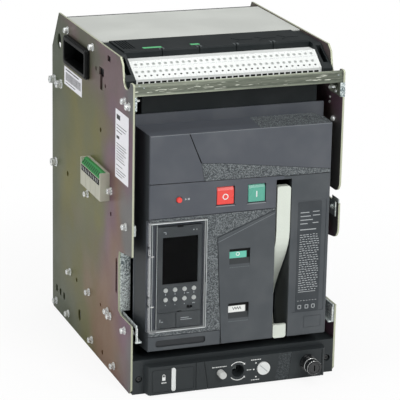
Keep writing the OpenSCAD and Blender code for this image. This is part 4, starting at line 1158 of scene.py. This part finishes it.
def window_ramps(mesh):
    """Shaded ramps under the two flags."""
    for top in (high("state_flags").z, low("state_flags").z + FLAG_TALL * MM):
        place = front_of("indicator_panel", 0, top - 21.5 * MM)
        place = place @ Matrix.Rotation(math.radians(-12.8), 4, "X")
        prism(mesh, place, box(-13.9, 3.4, 13.9, 10.7), -0.1, 0.08)


def ramp_edge_highlights(mesh):
    """Painted highlight: a broken pale line at the foot of each window's ramp."""
    for top in (high("state_flags").z, low("state_flags").z + FLAG_TALL * MM):
        on = front_of("indicator_panel", 0, top - 21.5 * MM)
        for i in range(9):
            mark(mesh, on, -13.6 + 3.1 * i, -0.9, 2.2, 0.5)


def panel_glints(mesh):
    """Painted highlights along the mask's top edge and along the slanted head of the flag panel."""
    on = front_of("front_mask")
    mark(mesh, on, -121, high("upper_panels").z / MM - 0.9, 242, 0.5, 0.06)
    on = front_of("indicator_panel")
    prism(mesh, on, [(-30.4, 197.2), (47.0, 229.8), (47.0, 230.3), (-30.4, 197.7)], -0.3, 0.06)


def seam_shades(mesh):
    """Shadow of the deep joint beside the upper left panel."""
    on = front_of("upper_panels")
    prism(mesh, on, [(-70.9, 342.8), (-69.6, 342.8), (-53.6, 303.6), (-54.9, 303.6)], -0.3, 0.05)


def edges(node):
    """Left, right, foot and head of a node in millimetres."""
    return low(node).x / MM, high(node).x / MM, low(node).z / MM, high(node).z / MM


def trip_marks(mesh):
    """Short marks by the keys and at the head of the trip unit."""
    left, right, foot, top = edges("trip_unit")
    keys_left, keys_right, keys_foot, keys_top = edges("trip_keys")
    on = front_of("trip_unit")
    first = keys_left + 2.8
    pitch = (keys_right - 2.8 - first) / 3
    for i in range(4):
        x = first + pitch * i
        mark(mesh, on, x - 0.4, keys_top - 9.6, 0.8, 2.6)
        mark(mesh, on, x - (0.5 if i < 3 else 1.8), keys_foot - 5.0, 1.0 if i < 3 else 3.6, 1.2)
    marks(mesh, on, ((first + 2 * pitch + 3, keys_top - 9, 3.2, 1.0),
                     (left + 8, top - 7.5, 3.4, 0.8), (left + 10.6, top - 10.0, 1.0, 2.4),
                     (right - 12, top - 7.2, 1.6, 1.6), (right - 7.5, top - 7.2, 1.0, 1.6),
                     (left + 4, foot + 8.0, 0.9, 4.2), (left + 6, foot + 8.0, 2.6, 0.9),
                     (left + 32, foot + 9.0, 15, 0.8), (left + 32, foot + 11.4, 11, 0.8)))


def trip_notches(mesh):
    """Dark latch notches at the head and over the flaps of the trip unit."""
    left, _, foot, top = edges("trip_unit")
    marks(mesh, front_of("trip_unit"), ((left + 26, top - 1.6, 8, 2.2, 0.5),
                                        (left + 40, foot + 25, 3.4, 3.4, 0.1),
                                        (left + 27, foot + 20.4, 6, 1.2, 0.1)))


def cover_rim_highlights(mesh):
    """Painted highlights: pale strips along the edges of the clear cover, where its rims catch the light."""
    x0, x1, z0, z1 = edges("trip_cover")
    marks(mesh, front_of("trip_cover"), ((x0 + 1, z1 - 1.3, x1 - x0 - 1.4, 1.0, 0.15),
                                         (x0 + 9, z0 + 0.6, x1 - x0 - 9.6, 0.8, 0.15),
                                         (x1 - 0.9, z0 + 1.6, 0.45, z1 - z0 - 3.2, 0.1),
                                         (x1 - 3.6, z0 + 3, 0.3, z1 - z0 - 5, 0.1),
                                         (x0 + 2.6, z0 + 3, 0.35, z1 - z0 - 5, 0.1),
                                         (x0 + 8.6, z0 + 3, 0.35, z1 - z0 - 5, 0.1)))


def hinge_highlights(mesh):
    """Painted highlights at the ends of the cover's two hinge pins and on its snap nub."""
    corner, tall = low("trip_cover"), high("trip_cover").z - low("trip_cover").z
    for share in (0.24, 0.70):
        mark(mesh, facing_front(corner), 1.2, share * tall / MM, 4.2, 1.0, 0.2)
    snap = front_of("trip_cover", high("trip_cover").x, corner.z + 0.52 * tall)
    mark(mesh, snap, -1.4, -0.8, 1.2, 1.6, 0.2)


def housing_screws(mesh):
    """Screws along the housing's back and its arc chutes."""
    back = high("breaker_housing").y
    top = high("breaker_housing").z / MM
    for x in (-108, -35, 35, 108):
        for z in (70, 190, top - 22):
            pan_screw(mesh, facing_back(Vector((x * MM, back, z * MM))), 6.4, 1.6)


def jaw_springs(mesh):
    """Leaf springs across the contact jaws."""
    jaws_low, jaws_high = low("contact_clusters"), high("contact_clusters")
    y = (jaws_low.y + jaws_high.y) / 2
    for x in POLES:
        for z in (jaws_low.z, jaws_high.z):
            out = 1 if z > 0.2 else -1
            for row in (0, 1):
                edge = z if row == 0 else z - out * 30 * MM
                way = out if row == 0 else -out
                place = Matrix.Translation(Vector((x * MM, y, edge)))
                prism(mesh, place, box(-22, -3, 22, 3), min(0, way * 0.9), max(0, way * 0.9))


piece(off_ring, PRINT_WHITE, "off_push")
piece(on_bar, PRINT_WHITE, "on_push")
for shape, finish in ((button_lip_highlights, LIP_HIGHLIGHT_GREY), (reset_mark, PRINT_GREY),
                      (reset_collar, FINISH["grey_moulding"]), (label_field, LABEL_FIELD),
                      (field_rules, PRINT_GREY), (field_signs, PRINT_GREY), (green_flag_ring, PRINT_WHITE),
                      (white_flag_spring, PRINT_DARK), (window_shades, DARK)):
    piece(shape, finish, "breaker")
piece(window_ramps, moulding("ramp_grey", "#24292c", dust=0.0), "breaker", slot="dark_grey_moulding")
for shape, finish in ((ramp_edge_highlights, FAINT_HIGHLIGHT), (panel_glints, LIP_HIGHLIGHT_GREY), (seam_shades, DARK),
                      (trip_marks, PRINT_GREY), (trip_notches, DARK)):
    piece(shape, finish, "breaker")
piece(cover_rim_highlights, RIM_HIGHLIGHT, "clear_cover")
piece(hinge_highlights, CHROME_HIGHLIGHT, "clear_cover", slot="clear_moulding")
piece(housing_screws, SCREW, "breaker")
piece(jaw_springs, SCREW, "breaker")


# ---- Stage ----

def paper_floor():
    """White paper that keeps only the deeper part of the shadow."""
    f = Finish("paper_floor", Roughness=0.9)
    tooth = f.noise(4 * MM)
    f.give("Base Color", f.blend(tooth, "#f4f4f4", "#f8f8f8"))
    glow = f.node("ShaderNodeEmission", {}, {"Color": (1, 1, 1, 1), "Strength": 1.0})
    seen = f.node("ShaderNodeLightPath", {}, {}, output=0)
    away = f.node("ShaderNodeVectorMath", {"operation": "LENGTH"}, {0: f.place()}, output=1).ramp(0.3, 0.75)
    mixed = f.node("ShaderNodeMixShader", {},
                   {0: seen * (away * 0.12 + 0.88), 1: Wire(f, f.shader.outputs[0]), 2: glow})
    f.feed(f.out.inputs["Surface"], mixed)
    return f.material


def floor(height):
    side = 6
    mesh = bpy.data.meshes.new("floor")
    mesh.from_pydata([(x, y, 0) for x, y in box(-side, -side, side, side)], [], [(0, 1, 2, 3)])
    ground = bpy.data.objects.new("floor", mesh)
    bpy.context.scene.collection.objects.link(ground)
    ground.location.z = height
    mesh.materials.append(paper_floor())


EYE = (-0.92885, -2.5579, 1.0342)
EYE_TURN, EYE_DOWN, EYE_ROLL = -20.232, 17.121, 1.106  # degrees


def eye():
    """Camera to the left of the front, looking down a little."""
    camera = bpy.data.cameras.new("camera")
    camera.lens = 190.6
    camera.sensor_width = 36
    camera.clip_end = 20
    made = bpy.data.objects.new("camera", camera)
    bpy.context.scene.collection.objects.link(made)
    made.matrix_world = (Matrix.Translation(EYE) @ Matrix.Rotation(math.radians(EYE_TURN), 4, "Z")
                         @ Matrix.Rotation(math.radians(90 - EYE_DOWN), 4, "X")
                         @ Matrix.Rotation(math.radians(EYE_ROLL), 4, "Z"))
    bpy.context.scene.camera = made


def lamp(name, place, aim, size, watts):
    light = bpy.data.lights.new(name, "AREA")
    light.shape = "SQUARE"
    light.size = size
    light.energy = watts
    made = bpy.data.objects.new(name, light)
    bpy.context.scene.collection.objects.link(made)
    made.location = place
    made.rotation_euler = (aim - Vector(place)).to_track_quat("-Z", "Y").to_euler()


def room():
    """Even surroundings: white to the camera and through clear parts, dim as a light and in reflections."""
    world = bpy.data.worlds.new("room")
    bpy.context.scene.world = world
    world.use_nodes = True
    tree = world.node_tree
    back = tree.nodes["Background"]
    rays = tree.nodes.new("ShaderNodeLightPath")
    seen = tree.nodes.new("ShaderNodeMath")
    seen.operation = "MAXIMUM"
    tree.links.new(rays.outputs["Is Camera Ray"], seen.inputs[0])
    tree.links.new(rays.outputs["Is Transmission Ray"], seen.inputs[1])
    level = tree.nodes.new("ShaderNodeMapRange")
    level.inputs["To Min"].default_value = 0.24
    level.inputs["To Max"].default_value = 1.0
    tree.links.new(seen.outputs[0], level.inputs["Value"])
    tree.links.new(level.outputs[0], back.inputs["Strength"])
    back.inputs["Color"].default_value = (1, 1, 1, 1)


centre = (Vector(cad_box[0]) + Vector(cad_box[1])) / 2
floor(cad_box[0][2])
eye()
for name, place, size, watts in (("key", (0.5, -2.3, 1.7), 1.4, 43),
                                 ("left_fill", (-2.3, -0.5, 1.3), 1.4, 19),
                                 ("top", (0.0, 0.2, 2.3), 1.6, 26)):
    lamp(name, place, centre, size, watts)
room()
bpy.context.scene.view_settings.view_transform = "Standard"
